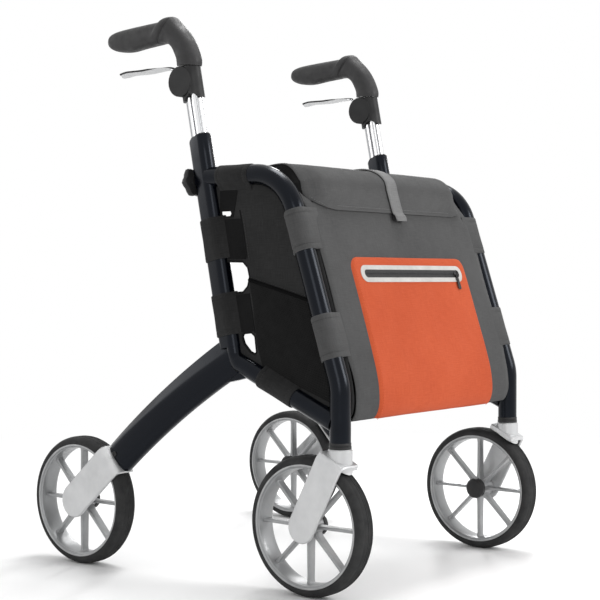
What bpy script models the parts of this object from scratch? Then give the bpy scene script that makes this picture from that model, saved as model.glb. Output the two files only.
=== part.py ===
"""Shopping rollator with a folding cross brace, a fabric bag and sprung brake levers.

Metres, +Z up. The origin is on the floor at the centre of the footprint.
The front, with the casters and the bag, faces -Y; the grips point to +Y.
The user's right side frame is at -X. side is -1 there and +1 on the left.
"""
from math import acos, asin, atan2, cos, pi, radians, sin, sqrt

import bmesh
import bpy
from mathutils import Matrix, Vector

# Clearances
GAP = 0.0003  # between any two neighbouring solids
RUNNING = 0.0004  # round a turning pin or a sliding stem
FORK_GAP = 0.003  # between a tyre and the crown over it
FORK_SIDE_GAP = 0.0016  # between a tyre and the arm beside it

# Stance
FRAME_X = 0.231  # plane of each side frame
REAR_WHEEL_X = 0.2656
WHEELBASE = 0.4268
CASTER_TRAIL = 0.0511

# Wheels
WHEEL_RADIUS = 0.100
WHEEL_SIDES = 32
TYRE_WIDTH = 0.036
TYRE_SHOULDER = ((0.0012, 0.0065), (0.0036, 0.0028), (0.0085, 0.0002))  # down, in from the side
TYRE_DEPTH = 0.012
TREAD_FLAT = 0.008
RIM_DEPTH = 0.0070
RIM_WIDTH = 0.0350
RIM_CROWN = 0.0035  # the rim's inner face stands up in the middle
SPOKES = 8
SPOKE_THICKNESS = 0.005
HUB_RADIUS = 0.0150
AXLE_RADIUS = 0.005
AXLE_HEAD_RADIUS = 0.009
AXLE_HEAD = 0.003

# Forks
FORK_PLATE = 0.0054
FORK_BEVEL = 0.0016
CASTER_ARM_HALF = 0.0228
CASTER_CROWN = 0.0090  # thickness of the crown over the tyre
COLLAR_SHOW = 0.01234  # height of the collar above the crown
REAR_ARM_HALF = 0.0262
REAR_CROWN = 0.0040  # the leg starts above it
COLLAR_RADIUS = 0.0174
CASTER_PIN_RADIUS = 0.005
CASTER_PIN_RISE = 0.0380  # above the collar
BUSH_FLANGE = 0.0040
BUSH_FLANGE_RADIUS = 0.0158
BUSH_HEIGHT = 0.045

# Side frame tubes, centrelines as (y, z)
TUBE_RADIUS = 0.015
TUBE_WALL = 0.0018
TOP_TUBE_Z = 0.600
TOP_BEND_RADIUS = 0.075
SLOPE_RUN = 0.0980  # depth of the front tube's slope
KNEE_Z = 0.2980
KNEE_RADIUS = 0.080
LOWER_TUBE_INSET = 0.0205  # its front end, behind the knee
LOWER_TUBE_DROP = 0.0440  # and below it
LOWER_TUBE_REAR = (-0.0660, 0.3317)
LOWER_TUBE_RADIUS = 0.0145
POST_FOOT = (-0.0627, 0.3470)
POST_LEAN = 0.200  # dy for each dz
POST_RISE = 0.0600  # above the top tube
POST_TOP_SLOPE = radians(14)
POST_TOP_KNEE = 0.0070  # behind the middle, where the cut turns down
POST_TOP_STEEP = radians(45)
POST_FRONT_RADIUS = 0.0125
POST_REAR_RADIUS = 0.0095
LOBE_SPACING = 0.0160

# Rear leg: an arc that splays outwards to the wheel, with a pear section
LEG_START = (-0.0620, 0.3310)
LEG_START_ANGLE = radians(-33)
LEG_END_ANGLE = radians(-45.7)
LEG_BEND_RADIUS = 1.157
LEG_HEIGHT_TOP = 0.0600
LEG_HEIGHT_END = 0.0530
LEG_WIDTH = 0.0260
LEG_STATIONS = 7

# Handle
STEM_FRONT_RADIUS = 0.0085
STEM_REAR_RADIUS = 0.0055
STEM_WEB = 0.0035  # half width of the web between the stem's lobes
STEM_LOW_Z = 0.440
HANDLE_DOWN = 0.030
STEM_SHOW = 0.0750  # from the post's top to the stem's end
STOP_SPARE = 0.005
HOUSING_DOWN = 0.0180  # below the stem's end
HOUSING_UP = 0.0330  # above it
HOUSING_WALL = 0.0040
LEVER_PIVOT_AWAY = (0.0131, 0.0105)  # from the stem's end
HOUSING_DISC_RADIUS = 0.0232
HOUSING_DISC_WIDTH = 0.0260
LEVER_HUB_RADIUS = 0.0090
LEVER_HUB_WIDTH = 0.0100
LEVER_PIN_RADIUS = 0.0030
LEVER_SHEET = 0.0030
GRIP_STATIONS = (  # upper y, z and lower y, z from the stem's end; half width
    (-0.0188, 0.0333, 0.0266, 0.0358, 0.0150),
    (-0.0174, 0.0480, 0.0275, 0.0490, 0.0158),
    (-0.0049, 0.0730, 0.0351, 0.0645, 0.0165),
    (0.0171, 0.0960, 0.0491, 0.0722, 0.0172),
    (0.0411, 0.1120, 0.0651, 0.0715, 0.0188),
    (0.0591, 0.1090, 0.0731, 0.0710, 0.0186),
    (0.0701, 0.1060, 0.0811, 0.0703, 0.0170),
    (0.1251, 0.1015, 0.1251, 0.0672, 0.0165),
    (0.1571, 0.0975, 0.1551, 0.0700, 0.0145),
    (0.1731, 0.0895, 0.1721, 0.0800, 0.0060),
)

# Height knob
KNOB_DROP = 0.0025  # below the top tube
KNOB_RADIUS = 0.0215
KNOB_LOBES = 6
KNOB_LOBE_DEPTH = 0.0020
KNOB_THICKNESS = 0.0115
KNOB_NECK = 0.0015
STUD_RADIUS = 0.0030

# Folding cross brace, in a leaning plane behind the bag
BRACE_X = 0.201
BRACE_FOOT = (-0.1040, 0.3150)
BRACE_HEAD_Y = -0.0713
BRACE_HEAD_DROP = 0.0400  # below the top tube
BAR_HALF_HEIGHT = 0.0110
BAR_THICKNESS = 0.0080
BAR_SPLIT = 0.0005
PIVOT_RADIUS = 0.0040
PIVOT_HEAD_RADIUS = 0.0070
PIVOT_HEAD = 0.0025
PEG_RADIUS = 0.0080
PEG_REACH = 0.0250
TAB_THICKNESS = 0.0040
CRADLE_WALL = 0.0030
CRADLE_LENGTH = 0.0140
SADDLE_PLATE = 0.0030

# Brake shoe, a plunger in the end of the rear leg
SHOE_WIDTH = 0.0140
SHOE_HEIGHT = 0.0240
SHOE_LENGTH = 0.0200
SHOE_LIFT = 0.0034  # distance from the tyre at rest

# Bag
SLEEVE_WALL = 0.0016
PANEL_THICKNESS = 0.0030
SHELL_THICKNESS = 0.0035
FRONT_FACE = 0.0139  # bag front ahead of the front tube's centreline
BACK_FACE = 0.0140  # bag back ahead of the brace plane
BAG_DROP = 0.0120  # rim of the bag below the top tube
BAG_BULGE = 0.0140  # bag bottom ahead of the knee
BAG_BOTTOM_DROP = 0.0500  # and below it
POCKET_THICKNESS = 0.0040
POCKET_DROP = 0.1080  # below the rim of the bag
POCKET_HALF_TOP = 0.1540
POCKET_HALF_BOTTOM = 0.1580
LID_THICKNESS = 0.0030
LID_HALF_WIDTH = 0.2050
LID_HALF_FRONT = 0.1580
LID_HINGE_Y = -0.0850
LID_HINGE_RISE = 0.0150  # above the rim of the bag
STRAP_WIDTH = 0.0280
STRAP_THICKNESS = 0.0020
CLIP_SIZE = (0.0240, 0.0035, 0.0100)

# Shared shapes of the details
WIDE = 0.060  # more than any piece's width, for cutters
LEG_PEAR = 0.08
LEG_SIDES = 16
FORK_SHOULDER = 0.0110
AXLE_SEAT = 0.0032
HUB_INNER = 0.0150
PIN_SEAT = 0.0120
SPOKE_HUB_HALF = 0.0082
SPOKE_RIM_HALF = 0.0070
SPOKE_ROOT = 0.0035  # how far the spokes run into the rim and the hub
SHOE_SPARE = 0.0040
KNOB_BASE = LOBE_SPACING / 2 + POST_REAR_RADIUS
KNOB_NECK_RADIUS = 0.0090
HOUSING_ARCH_AWAY = (-0.0099, -0.0230)  # from the stem's end
HOUSING_ARCH_RADIUS = 0.0145
LEVER_PIN_HALF = 0.0100
LEVER_ARM = ((0.0135, 0.0120), (0.0245, 0.0185), (0.0350, 0.0217))  # from its pivot
LEVER_ARM_THICKNESS = 0.0070
LEVER_PADDLE = ((0.0320, 0.0217), (0.0450, 0.0227), (0.0780, 0.0205), (0.1110, 0.0213), (0.1312, 0.0183))
LEVER_HALF_ROOT = 0.0135
LEVER_HALF_TIP = 0.0115
GRIP_SIDES = 12
TAB_HALF = 0.0100
SADDLE_TUBE_Y = -0.0385
BAG_EDGE = ((0.0015, 0.0480), (0.0, 0.0240), (0.0040, 0.0065), (0.0165, 0.0))  # back and up
BAG_FLOOR = ((0.0535, 0.0100), (0.1085, 0.0280), (0.1495, 0.0430))  # back and up
BACK_HEIGHTS = (0.0570, 0.1720)  # rows of the bag's back above its bottom
FACE_DROPS = (0.1480, 0.2580)  # rows of the bag's front below its rim
BACK_SPARE = 0.0080  # the back stands above the rim
LID_CREST = ((0.21, 0.0095), (0.45, 0.0125), (0.69, 0.0115), (0.89, 0.0050), (1.03, -0.0070))  # share, rise
LID_DROPS = (0.0080, 0.0240, 0.0340, 0.0390)  # rows of its front below the rim of the bag
LID_CUT = (0.0, 0.0010, 0.0095, 0.0240)  # how far its corners are cut in, row by row
STRAP_SPARE = 0.0125  # the strap's end below the lid's
PANEL_DROP = 0.0350  # lower edge of the side panel below the knee
UPPER_SLEEVE = (0.0540, 0.1130)  # down the front tube from the top tube
KNEE_SLEEVE = (0.0990, 0.0380)  # up the front tube from the knee
POST_SLEEVE_HIGH = (0.0630, 0.1250)  # down the post from the top tube
POST_SLEEVE_LOW = (0.0780, 0.0170)  # up the post from its foot
TOP_SLEEVE = (-0.0440, -0.1060)
LOWER_SLEEVE = (0.0257, 0.0527)  # down from the lower tube's rear end
TOP_HOLE = (  # y, and drop below the top tube
    (-0.0450, 0.0480), (-0.0720, 0.0480), (-0.0740, 0.0560), (-0.0700, 0.0610), (-0.0500, 0.0610),
)
MIDDLE_HOLE = (  # y, and drop below the top tube
    (-0.0450, 0.1250), (-0.0880, 0.1260), (-0.0975, 0.1350), (-0.1010, 0.1490), (-0.0975, 0.1630),
    (-0.0880, 0.1720), (-0.0550, 0.1740),
)
LOW_HOLE = (  # y, and rise above the foot of the post
    (-0.0840, 0.0215), (-0.1036, 0.0238), (-0.1112, 0.0182), (-0.1149, -0.0108), (-0.1016, -0.0054),
    (-0.0901, 0.0060),
)


# Places that follow from the sizes

FRONT_AXLE = (-WHEELBASE / 2, WHEEL_RADIUS)
REAR_AXLE = (WHEELBASE / 2, WHEEL_RADIUS)
ARM_INNER = TYRE_WIDTH / 2 + FORK_SIDE_GAP  # from the wheel's middle to the fork's arm
CASTER_Y = FRONT_AXLE[0] - CASTER_TRAIL
CASTER_REACH = WHEEL_RADIUS + FORK_GAP + CASTER_CROWN  # from the axle to the top of the crown
CASTER_LEAN = asin(CASTER_TRAIL / CASTER_REACH)
COLLAR_TOP = WHEEL_RADIUS + CASTER_REACH * cos(CASTER_LEAN) + COLLAR_SHOW
CASTER_PIN_TOP = COLLAR_TOP + CASTER_PIN_RISE
CASTER_FLOOR = COLLAR_TOP + GAP  # underside of the swivel bush
TUBE_END_Z = CASTER_FLOOR + BUSH_FLANGE + GAP
KNEE = (CASTER_Y, KNEE_Z)
TOP_CORNER_Y = CASTER_Y + SLOPE_RUN
LOWER_TUBE_FRONT = (CASTER_Y + LOWER_TUBE_INSET, KNEE_Z - LOWER_TUBE_DROP)
POST_TOP_Z = TOP_TUBE_Z + POST_RISE
KNOB_Z = TOP_TUBE_Z - KNOB_DROP
STEM_HIGH_Z = POST_TOP_Z + STEM_SHOW
STEM_END_Y = POST_FOOT[0] + (STEM_HIGH_Z - POST_FOOT[1]) * POST_LEAN
HOUSING_LOW_Z = STEM_HIGH_Z - HOUSING_DOWN
HOUSING_TOP_Z = STEM_HIGH_Z + HOUSING_UP
HOUSING_ARCH = (STEM_END_Y + HOUSING_ARCH_AWAY[0], STEM_HIGH_Z + HOUSING_ARCH_AWAY[1])
LEVER_PIVOT = (STEM_END_Y + LEVER_PIVOT_AWAY[0], STEM_HIGH_Z + LEVER_PIVOT_AWAY[1])
BRACE_HEAD = (BRACE_HEAD_Y, TOP_TUBE_Z - BRACE_HEAD_DROP)
BAG_TOP_Z = TOP_TUBE_Z - BAG_DROP
BAG_BOTTOM_Y = CASTER_Y - BAG_BULGE
BAG_BOTTOM_Z = KNEE_Z - BAG_BOTTOM_DROP
LID_HINGE = (LID_HINGE_Y, BAG_TOP_Z + LID_HINGE_RISE)
LID_FRONT_Z = BAG_TOP_Z - LID_DROPS[-1]
STRAP_END_Z = LID_FRONT_Z - STRAP_SPARE
PANEL_LOW_Z = KNEE_Z - PANEL_DROP
BRACE_RISE = sqrt((BRACE_HEAD[0] - BRACE_FOOT[0]) ** 2 + (BRACE_HEAD[1] - BRACE_FOOT[1]) ** 2)
SLEEVE_OUT = TUBE_RADIUS + GAP + SLEEVE_WALL
SHELL_HALF_WIDTH = FRAME_X - SLEEVE_OUT * cos(pi / 12) - GAP  # the sleeves have flats


def clear_scene():
    for item in list(bpy.data.objects):
        bpy.data.objects.remove(item, do_unlink=True)


def make_collection(name):
    collection = bpy.data.collections.new(name)
    bpy.context.scene.collection.children.link(collection)
    return collection


def material(name, colour, roughness, metallic=0.0):
    """A plain Principled material; colour is linear RGB."""
    if name in bpy.data.materials:
        return bpy.data.materials[name]
    made = bpy.data.materials.new(name)
    made.use_nodes = True
    shader = made.node_tree.nodes["Principled BSDF"]
    shader.inputs["Base Color"].default_value = (*colour, 1.0)
    shader.inputs["Roughness"].default_value = roughness
    shader.inputs["Metallic"].default_value = metallic
    return made


FINISHES = {
    "frame": ((0.012, 0.014, 0.024), 0.25, 0.0),
    "silver": ((0.62, 0.62, 0.62), 0.35, 0.8),
    "chrome": ((0.80, 0.80, 0.80), 0.12, 1.0),
    "rim": ((0.42, 0.42, 0.42), 0.45, 0.3),
    "tyre": ((0.050, 0.050, 0.052), 0.85, 0.0),
    "black": ((0.012, 0.012, 0.013), 0.50, 0.0),
    "grip": ((0.050, 0.050, 0.052), 0.80, 0.0),
    "steel": ((0.50, 0.50, 0.50), 0.35, 1.0),
    "charcoal": ((0.024, 0.024, 0.024), 0.90, 0.0),
    "grey": ((0.125, 0.125, 0.125), 0.90, 0.0),
    "orange": ((0.68, 0.115, 0.045), 0.85, 0.0),
    "webbing": ((0.22, 0.22, 0.22), 0.90, 0.0),
}


class Maker:
    """Holds the collections, and turns shapes into named parts."""

    def __init__(self):
        self.parts = make_collection("shopping_rollator")
        self.cutters = make_collection("cutters")

    def link(self, item, collection):
        for user in list(item.users_collection):
            user.objects.unlink(item)
        collection.objects.link(item)

    def part(self, item, name, finish, axis=None, smooth=35):
        """Name an object, give it its material and hang it from its joint's empty."""
        item.name = name
        item.data.name = name
        item.data.materials.clear()
        item.data.materials.append(material(f"{name}_{finish}", *FINISHES[finish]))
        self.link(item, self.parts)
        item.data.shade_smooth()
        item.data.set_sharp_from_angle(angle=radians(smooth))
        if axis is not None:
            item.parent = axis
            item.matrix_parent_inverse = axis.matrix_world.inverted()
        return item

    def axis(self, name, location, parent=None):
        """An empty on a joint's axis."""
        empty = bpy.data.objects.new(name, None)
        empty.empty_display_size = 0.03
        empty.location = location
        self.parts.objects.link(empty)
        bpy.context.view_layer.update()
        if parent is not None:
            empty.parent = parent
            empty.matrix_parent_inverse = parent.matrix_world.inverted()
        bpy.context.view_layer.update()
        return empty

    def cut(self, item, *cutters):
        """Subtract the cutters and take their objects away."""
        return self.combine(item, cutters, "DIFFERENCE")

    def join(self, item, *others):
        return self.combine(item, others, "UNION")

    def keep_inside(self, item, *others):
        return self.combine(item, others, "INTERSECT")

    def combine(self, item, others, operation):
        for other in others:
            modifier = item.modifiers.new(operation.lower(), "BOOLEAN")
            modifier.operation = operation
            modifier.solver = "EXACT"
            modifier.object = other
            other.hide_render = True
            other.display_type = "WIRE"
            self.link(other, self.cutters)
        self.freeze(item)
        form = bmesh.new()
        form.from_mesh(item.data)
        bmesh.ops.remove_doubles(form, verts=form.verts, dist=0.00001)
        bmesh.ops.dissolve_degenerate(form, edges=form.edges, dist=0.00001)
        bmesh.ops.dissolve_limit(form, angle_limit=radians(0.3), verts=form.verts, edges=form.edges)
        form.to_mesh(item.data)
        form.free()
        for other in others:
            bpy.data.objects.remove(other, do_unlink=True)
        return item

    def freeze(self, item):
        """Replace an object's mesh by its evaluated one."""
        bpy.context.view_layer.update()
        graph = bpy.context.evaluated_depsgraph_get()
        mesh = bpy.data.meshes.new_from_object(item.evaluated_get(graph))
        item.modifiers.clear()
        old = item.data
        item.data = mesh
        if old.users == 0:
            bpy.data.meshes.remove(old)
        return item


def face_outwards(form):
    bmesh.ops.recalc_face_normals(form, faces=form.faces)
    if form.calc_volume(signed=True) < 0:
        bmesh.ops.reverse_faces(form, faces=form.faces)


def to_mesh_object(curve_object):
    """A curve's closed mesh, with its caps welded, in place of the curve."""
    bpy.context.view_layer.update()
    graph = bpy.context.evaluated_depsgraph_get()
    mesh = bpy.data.meshes.new_from_object(curve_object.evaluated_get(graph))
    form = bmesh.new()
    form.from_mesh(mesh)
    bmesh.ops.remove_doubles(form, verts=form.verts, dist=0.000001)
    face_outwards(form)
    form.to_mesh(mesh)
    form.free()
    made = bpy.data.objects.new("shape", mesh)
    made.matrix_world = curve_object.matrix_world
    bpy.context.scene.collection.objects.link(made)
    bpy.data.objects.remove(curve_object, do_unlink=True)
    return made


def placed(origin, along_x, along_y, along_z):
    """A frame whose local axes point along the three given directions."""
    turn = Matrix((along_x, along_y, along_z)).transposed().to_4x4()
    return Matrix.Translation(origin) @ turn


def side_frame(x):
    """Local X, Y and Z run along world Y, Z and X, from the plane at x."""
    return placed(Vector((x, 0, 0)), Vector((0, 1, 0)), Vector((0, 0, 1)), Vector((1, 0, 0)))


def outline_solid(outlines, frame, low, high):
    """Extrude closed outlines, the first one's holes after it, from low to high."""
    curve = bpy.data.curves.new("outline", "CURVE")
    curve.dimensions = "2D"
    curve.fill_mode = "BOTH"
    curve.extrude = (high - low) / 2
    for outline in outlines:
        spline = curve.splines.new("POLY")
        spline.points.add(len(outline) - 1)
        for point, (a, b) in zip(spline.points, outline):
            point.co = (a, b, 0.0, 1.0)
        spline.use_cyclic_u = True
    item = bpy.data.objects.new("outline", curve)
    item.matrix_world = frame @ Matrix.Translation((0, 0, (high + low) / 2))
    bpy.context.scene.collection.objects.link(item)
    return to_mesh_object(item)


def tube(points, radius, resolution=4):
    """A round bar along the points, with filled ends."""
    curve = bpy.data.curves.new("tube", "CURVE")
    curve.dimensions = "3D"
    curve.bevel_depth = radius
    curve.bevel_resolution = resolution
    curve.use_fill_caps = True
    spline = curve.splines.new("POLY")
    spline.points.add(len(points) - 1)
    for point, place in zip(spline.points, points):
        point.co = (*place, 1.0)
    item = bpy.data.objects.new("tube", curve)
    bpy.context.scene.collection.objects.link(item)
    return to_mesh_object(item)


def turned(profile, frame, sides=24):
    """Screw a profile of (radius, height), outer side running down, about local Z."""
    mesh = bpy.data.meshes.new("profile")
    form = bmesh.new()
    corners = [form.verts.new((r, 0.0, h)) for r, h in profile]
    for first, second in zip(corners, corners[1:] + corners[:1]):
        if first.co.x > 0.0 or second.co.x > 0.0:
            form.edges.new((first, second))
    form.to_mesh(mesh)
    form.free()
    item = bpy.data.objects.new("turned", mesh)
    item.matrix_world = frame @ Matrix.Rotation(pi / sides, 4, "Z")
    bpy.context.scene.collection.objects.link(item)
    screw = item.modifiers.new("screw", "SCREW")
    screw.steps = sides
    screw.render_steps = sides
    screw.axis = "Z"
    screw.use_merge_vertices = True
    screw.merge_threshold = 0.00001
    screw.use_smooth_shade = True
    bpy.context.view_layer.update()
    graph = bpy.context.evaluated_depsgraph_get()
    solid = bpy.data.meshes.new_from_object(item.evaluated_get(graph))
    item.modifiers.clear()
    item.data = solid
    bpy.data.meshes.remove(mesh)
    form = bmesh.new()
    form.from_mesh(solid)
    bmesh.ops.remove_doubles(form, verts=form.verts, dist=0.00001)
    face_outwards(form)
    form.to_mesh(solid)
    form.free()
    return item


def loft(sections):
    """A solid through closed sections of equal point count."""
    mesh = bpy.data.meshes.new("loft")
    form = bmesh.new()
    rings = [[form.verts.new(point) for point in section] for section in sections]
    for ring, after in zip(rings, rings[1:]):
        for k in range(len(ring)):
            m = (k + 1) % len(ring)
            form.faces.new((ring[k], ring[m], after[m], after[k]))
    form.faces.new(list(reversed(rings[0])))
    form.faces.new(rings[-1])
    face_outwards(form)
    form.to_mesh(mesh)
    form.free()
    item = bpy.data.objects.new("loft", mesh)
    bpy.context.scene.collection.objects.link(item)
    return item


def bevel(item, width, segments=1, angle=40):
    modifier = item.modifiers.new("bevel", "BEVEL")
    modifier.width = width
    modifier.segments = segments
    modifier.limit_method = "ANGLE"
    modifier.angle_limit = radians(angle)
    return item


def arc(centre, radius, start, stop, count):
    """Points on a circle from one angle to another, both included."""
    turns = [start + (stop - start) * k / (count - 1) for k in range(count)]
    return [(centre[0] + radius * cos(t), centre[1] + radius * sin(t)) for t in turns]


def circle(centre, radius, count=24):
    return arc(centre, radius, 0, 2 * pi * (1 - 1 / count), count)


def pill(first, second, radius_first, radius_second, count=7):
    """A bar's outline with a round end about each point."""
    away = atan2(second[1] - first[1], second[0] - first[0])
    start = arc(first, radius_first, away + pi / 2, away + 3 * pi / 2, count)
    end = arc(second, radius_second, away - pi / 2, away + pi / 2, count)
    return start + end


def lobes(radius_front, radius_rear, web=None, count=7):
    """Two round lobes, the front one at -Y, wrapped tightly or joined by a narrower web."""
    front_end = asin((radius_front - radius_rear) / LOBE_SPACING)
    rear_end = -front_end
    if web is not None:
        front_end = acos(web / radius_front)
        rear_end = acos(web / radius_rear)
    half = LOBE_SPACING / 2
    front = arc((0, -half), radius_front, pi - front_end, 2 * pi + front_end, count + 3)
    rear = arc((0, half), radius_rear, -rear_end, pi + rear_end, count)
    return front + rear


def rounded_path(corners, radii, steps):
    """A polyline whose inner corners are replaced by arcs of the given radii."""
    points = [Vector(corners[0])]
    for before, corner, after, radius in zip(corners, corners[1:], corners[2:], radii):
        corner = Vector(corner)
        back = (Vector(before) - corner).normalized()
        onward = (Vector(after) - corner).normalized()
        half = back.angle(onward) / 2
        middle = (back + onward).normalized() * (radius / sin(half))
        reach = radius * cos(half) / sin(half)
        start = back * reach - middle
        turn = pi - 2 * half
        for k in range(steps + 1):
            share = k / steps
            a = sin((1 - share) * turn) / sin(turn)
            b = sin(share * turn) / sin(turn)
            points.append(corner + middle + a * start + b * (onward * reach - middle))
    points.append(Vector(corners[-1]))
    return points


def smooth_path(points, steps):
    """A curve through the points, each given as a tuple of any length."""
    rows = [points[0], *points, points[-1]]
    out = []
    for p0, p1, p2, p3 in zip(rows, rows[1:], rows[2:], rows[3:]):
        for k in range(steps):
            t = k / steps
            out.append(tuple(
                0.5 * (2 * b + (c - a) * t + (2 * a - 5 * b + 4 * c - d) * t * t
                       + (3 * b - a - 3 * c + d) * t ** 3)
                for a, b, c, d in zip(p0, p1, p2, p3)
            ))
    return out + [tuple(points[-1])]


def strip(path, half_widths, thickness, x=0.0):
    """A flat band of rectangular section along a (y, z) path, thickness to both sides."""
    sections = []
    for k, (y, z) in enumerate(path):
        before = Vector(path[max(k - 1, 0)])
        after = Vector(path[min(k + 1, len(path) - 1)])
        along = (after - before).normalized()
        out = Vector((along.y, -along.x)) * thickness / 2
        half = half_widths[k]
        sections.append([
            Vector((x - half, y + out.x, z + out.y)),
            Vector((x + half, y + out.x, z + out.y)),
            Vector((x + half, y - out.x, z - out.y)),
            Vector((x - half, y - out.x, z - out.y)),
        ])
    return loft(sections)


def post_frame(x):
    """Local Z runs up the leaning rear post, local Y to its rear; origin at floor height."""
    up = Vector((0, POST_LEAN, 1)).normalized()
    rear = Vector((0, up.z, -up.y))
    across = rear.cross(up)
    foot_y = POST_FOOT[0] - POST_FOOT[1] * POST_LEAN
    return placed(Vector((x, foot_y, 0)), across, rear, up)


def up_post(z):
    """Distance along the post at which its centre has height z."""
    return z * sqrt(1 + POST_LEAN ** 2)


def post_solid(x, radius_front, radius_rear, low_z, high_z, web=None):
    outline = lobes(radius_front, radius_rear, web)
    return outline_solid([outline], post_frame(x), up_post(low_z), up_post(high_z))


def brace_frame():
    """Local X across, local Y up the brace plane, local Z forward and out of it."""
    up = Vector((0, BRACE_HEAD[0] - BRACE_FOOT[0], BRACE_HEAD[1] - BRACE_FOOT[1])).normalized()
    across = Vector((1, 0, 0))
    origin = Vector((0, BRACE_FOOT[0], BRACE_FOOT[1]))
    return placed(origin, across, up, across.cross(up))


def x_frame(x, y, z):
    """Local Z along world X, at a point."""
    return placed(Vector((x, y, z)), Vector((0, 1, 0)), Vector((0, 0, 1)), Vector((1, 0, 0)))


def z_frame(x, y, z):
    return Matrix.Translation((x, y, z))


def front_tube_path(x):
    path = rounded_path(
        [(POST_FOOT[0] + (TOP_TUBE_Z - POST_FOOT[1]) * POST_LEAN, TOP_TUBE_Z),
         (TOP_CORNER_Y, TOP_TUBE_Z), KNEE, (KNEE[0], TUBE_END_Z)],
        [TOP_BEND_RADIUS, KNEE_RADIUS], 5)
    return [Vector((x, p.x, p.y)) for p in path]


def lower_tube_path(x):
    return [Vector((x, *LOWER_TUBE_FRONT)), Vector((x, *LOWER_TUBE_REAR))]


def leg_stations(side):
    """Centre, upward direction and height of the leg's sections, top to end."""
    stations = []
    for k in range(LEG_STATIONS):
        share = k / (LEG_STATIONS - 1)
        angle = LEG_START_ANGLE + (LEG_END_ANGLE - LEG_START_ANGLE) * share
        y = LEG_START[0] + LEG_BEND_RADIUS * (sin(LEG_START_ANGLE) - sin(angle))
        z = LEG_START[1] + LEG_BEND_RADIUS * (cos(angle) - cos(LEG_START_ANGLE))
        x = side * (FRAME_X + (REAR_WHEEL_X - FRAME_X) * share)
        height = LEG_HEIGHT_TOP + (LEG_HEIGHT_END - LEG_HEIGHT_TOP) * share
        stations.append((Vector((x, y, z)), Vector((0, -sin(angle), cos(angle))), height))
    return stations


def leg_section(centre, up, height):
    """A pear: full and round above, narrower below."""
    points = []
    for k in range(LEG_SIDES):
        rise = sin(2 * pi * k / LEG_SIDES)
        half_width = LEG_WIDTH / 2 * (1 + LEG_PEAR * rise)
        across = Vector((cos(2 * pi * k / LEG_SIDES) * half_width, 0, 0))
        points.append(centre + across + up * rise * height / 2)
    return points


def post_band(x):
    """The post's outline seen from the side, as a wide cutter for what meets it."""
    front = -LOBE_SPACING / 2 - POST_FRONT_RADIUS - GAP
    rear = LOBE_SPACING / 2 + POST_REAR_RADIUS + GAP
    low = up_post(POST_FOOT[1]) - GAP
    high = up_post(POST_TOP_Z)
    frame = post_frame(x)
    sideways = placed(frame.translation, frame.col[1].xyz, frame.col[2].xyz, frame.col[0].xyz)
    box = [(front, low), (rear, low), (rear, high), (front, high)]
    return outline_solid([box], sideways, -WIDE, WIDE)


def leg_band(x):
    """The leg's outline seen from the side, as a wide cutter."""
    stations = leg_stations(1)
    upper = [(c.y + u.y * (h / 2 + GAP), c.z + u.z * (h / 2 + GAP)) for c, u, h in stations]
    lower = [(c.y - u.y * (h / 2 + GAP), c.z - u.z * (h / 2 + GAP)) for c, u, h in stations]
    along = Vector((cos(LEG_START_ANGLE), sin(LEG_START_ANGLE))) * GAP
    for row in (upper, lower):
        row[0] = (row[0][0] - along.x, row[0][1] - along.y)
    return outline_solid([upper + lower[::-1]], side_frame(x), -WIDE, WIDE)


def fork_axes(side, away):
    """Outward, wheel-to-crown and lateral directions of a one-sided fork."""
    outward = Vector((side, 0, 0))
    up = Vector((0, away.x, away.y))
    return outward, up, outward.cross(up)


def fork_solid(side, hub, away, half_width, crown_top, inner_reach):
    """An arm outside the wheel that bends over the tyre in one rounded shoulder.

    hub is the wheel's centre; inner_reach is how far the crown goes past it inwards.
    """
    outward, up, lateral = fork_axes(side, away)
    inner = ARM_INNER
    outer = inner + FORK_PLATE
    crown = WHEEL_RADIUS + FORK_GAP
    shoulder = arc((outer - FORK_SHOULDER, crown_top - FORK_SHOULDER), FORK_SHOULDER,
                   0, pi / 2, 4)
    profile = [(inner, -half_width - WIDE), (outer, -half_width - WIDE), *shoulder,
               (-inner_reach, crown_top), (-inner_reach, crown), (inner, crown)]
    body = outline_solid([profile], placed(hub, outward, up, lateral), -WIDE, WIDE)
    hub_end = arc((0, 0), half_width, pi / 2, 3 * pi / 2, 11)
    arm = hub_end + [(crown_top + WIDE, -half_width), (crown_top + WIDE, half_width)]
    side_view = outline_solid([arm], placed(hub, up, lateral, outward), -WIDE, WIDE)
    return MAKER.keep_inside(body, side_view)


def axle_bore(side, hub, away):
    """The blind seat of the axle in the fork's arm."""
    outward, up, lateral = fork_axes(side, away)
    deep = ARM_INNER + AXLE_SEAT + GAP
    outline = circle((0, 0), AXLE_RADIUS + GAP, 12)
    return outline_solid([outline], placed(hub, up, lateral, outward), ARM_INNER - 0.002, deep)


def rear_fork_away():
    """Unit (y, z) direction from the rear axle to the end of the leg."""
    end = leg_stations(1)[-1][0]
    return Vector((end.y - REAR_AXLE[0], end.z - REAR_AXLE[1])).normalized()


def caster_fork_away():
    """Unit (y, z) direction from the front axle up the fork's arm."""
    return Vector((-sin(CASTER_LEAN), cos(CASTER_LEAN)))


def front_tube(side, name):
    x = side * FRAME_X
    post = post_solid(x, POST_FRONT_RADIUS + GAP, POST_REAR_RADIUS + GAP, POST_FOOT[1], POST_TOP_Z)
    item = MAKER.cut(tube(front_tube_path(x), TUBE_RADIUS), post)
    bore = turned([(0, BUSH_HEIGHT + 0.003), (TUBE_RADIUS - TUBE_WALL, BUSH_HEIGHT + 0.003),
                   (TUBE_RADIUS - TUBE_WALL, -0.002), (0, -0.002)],
                  z_frame(x, CASTER_Y, TUBE_END_Z), 16)
    MAKER.part(MAKER.cut(item, bore), name, "frame")


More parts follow.
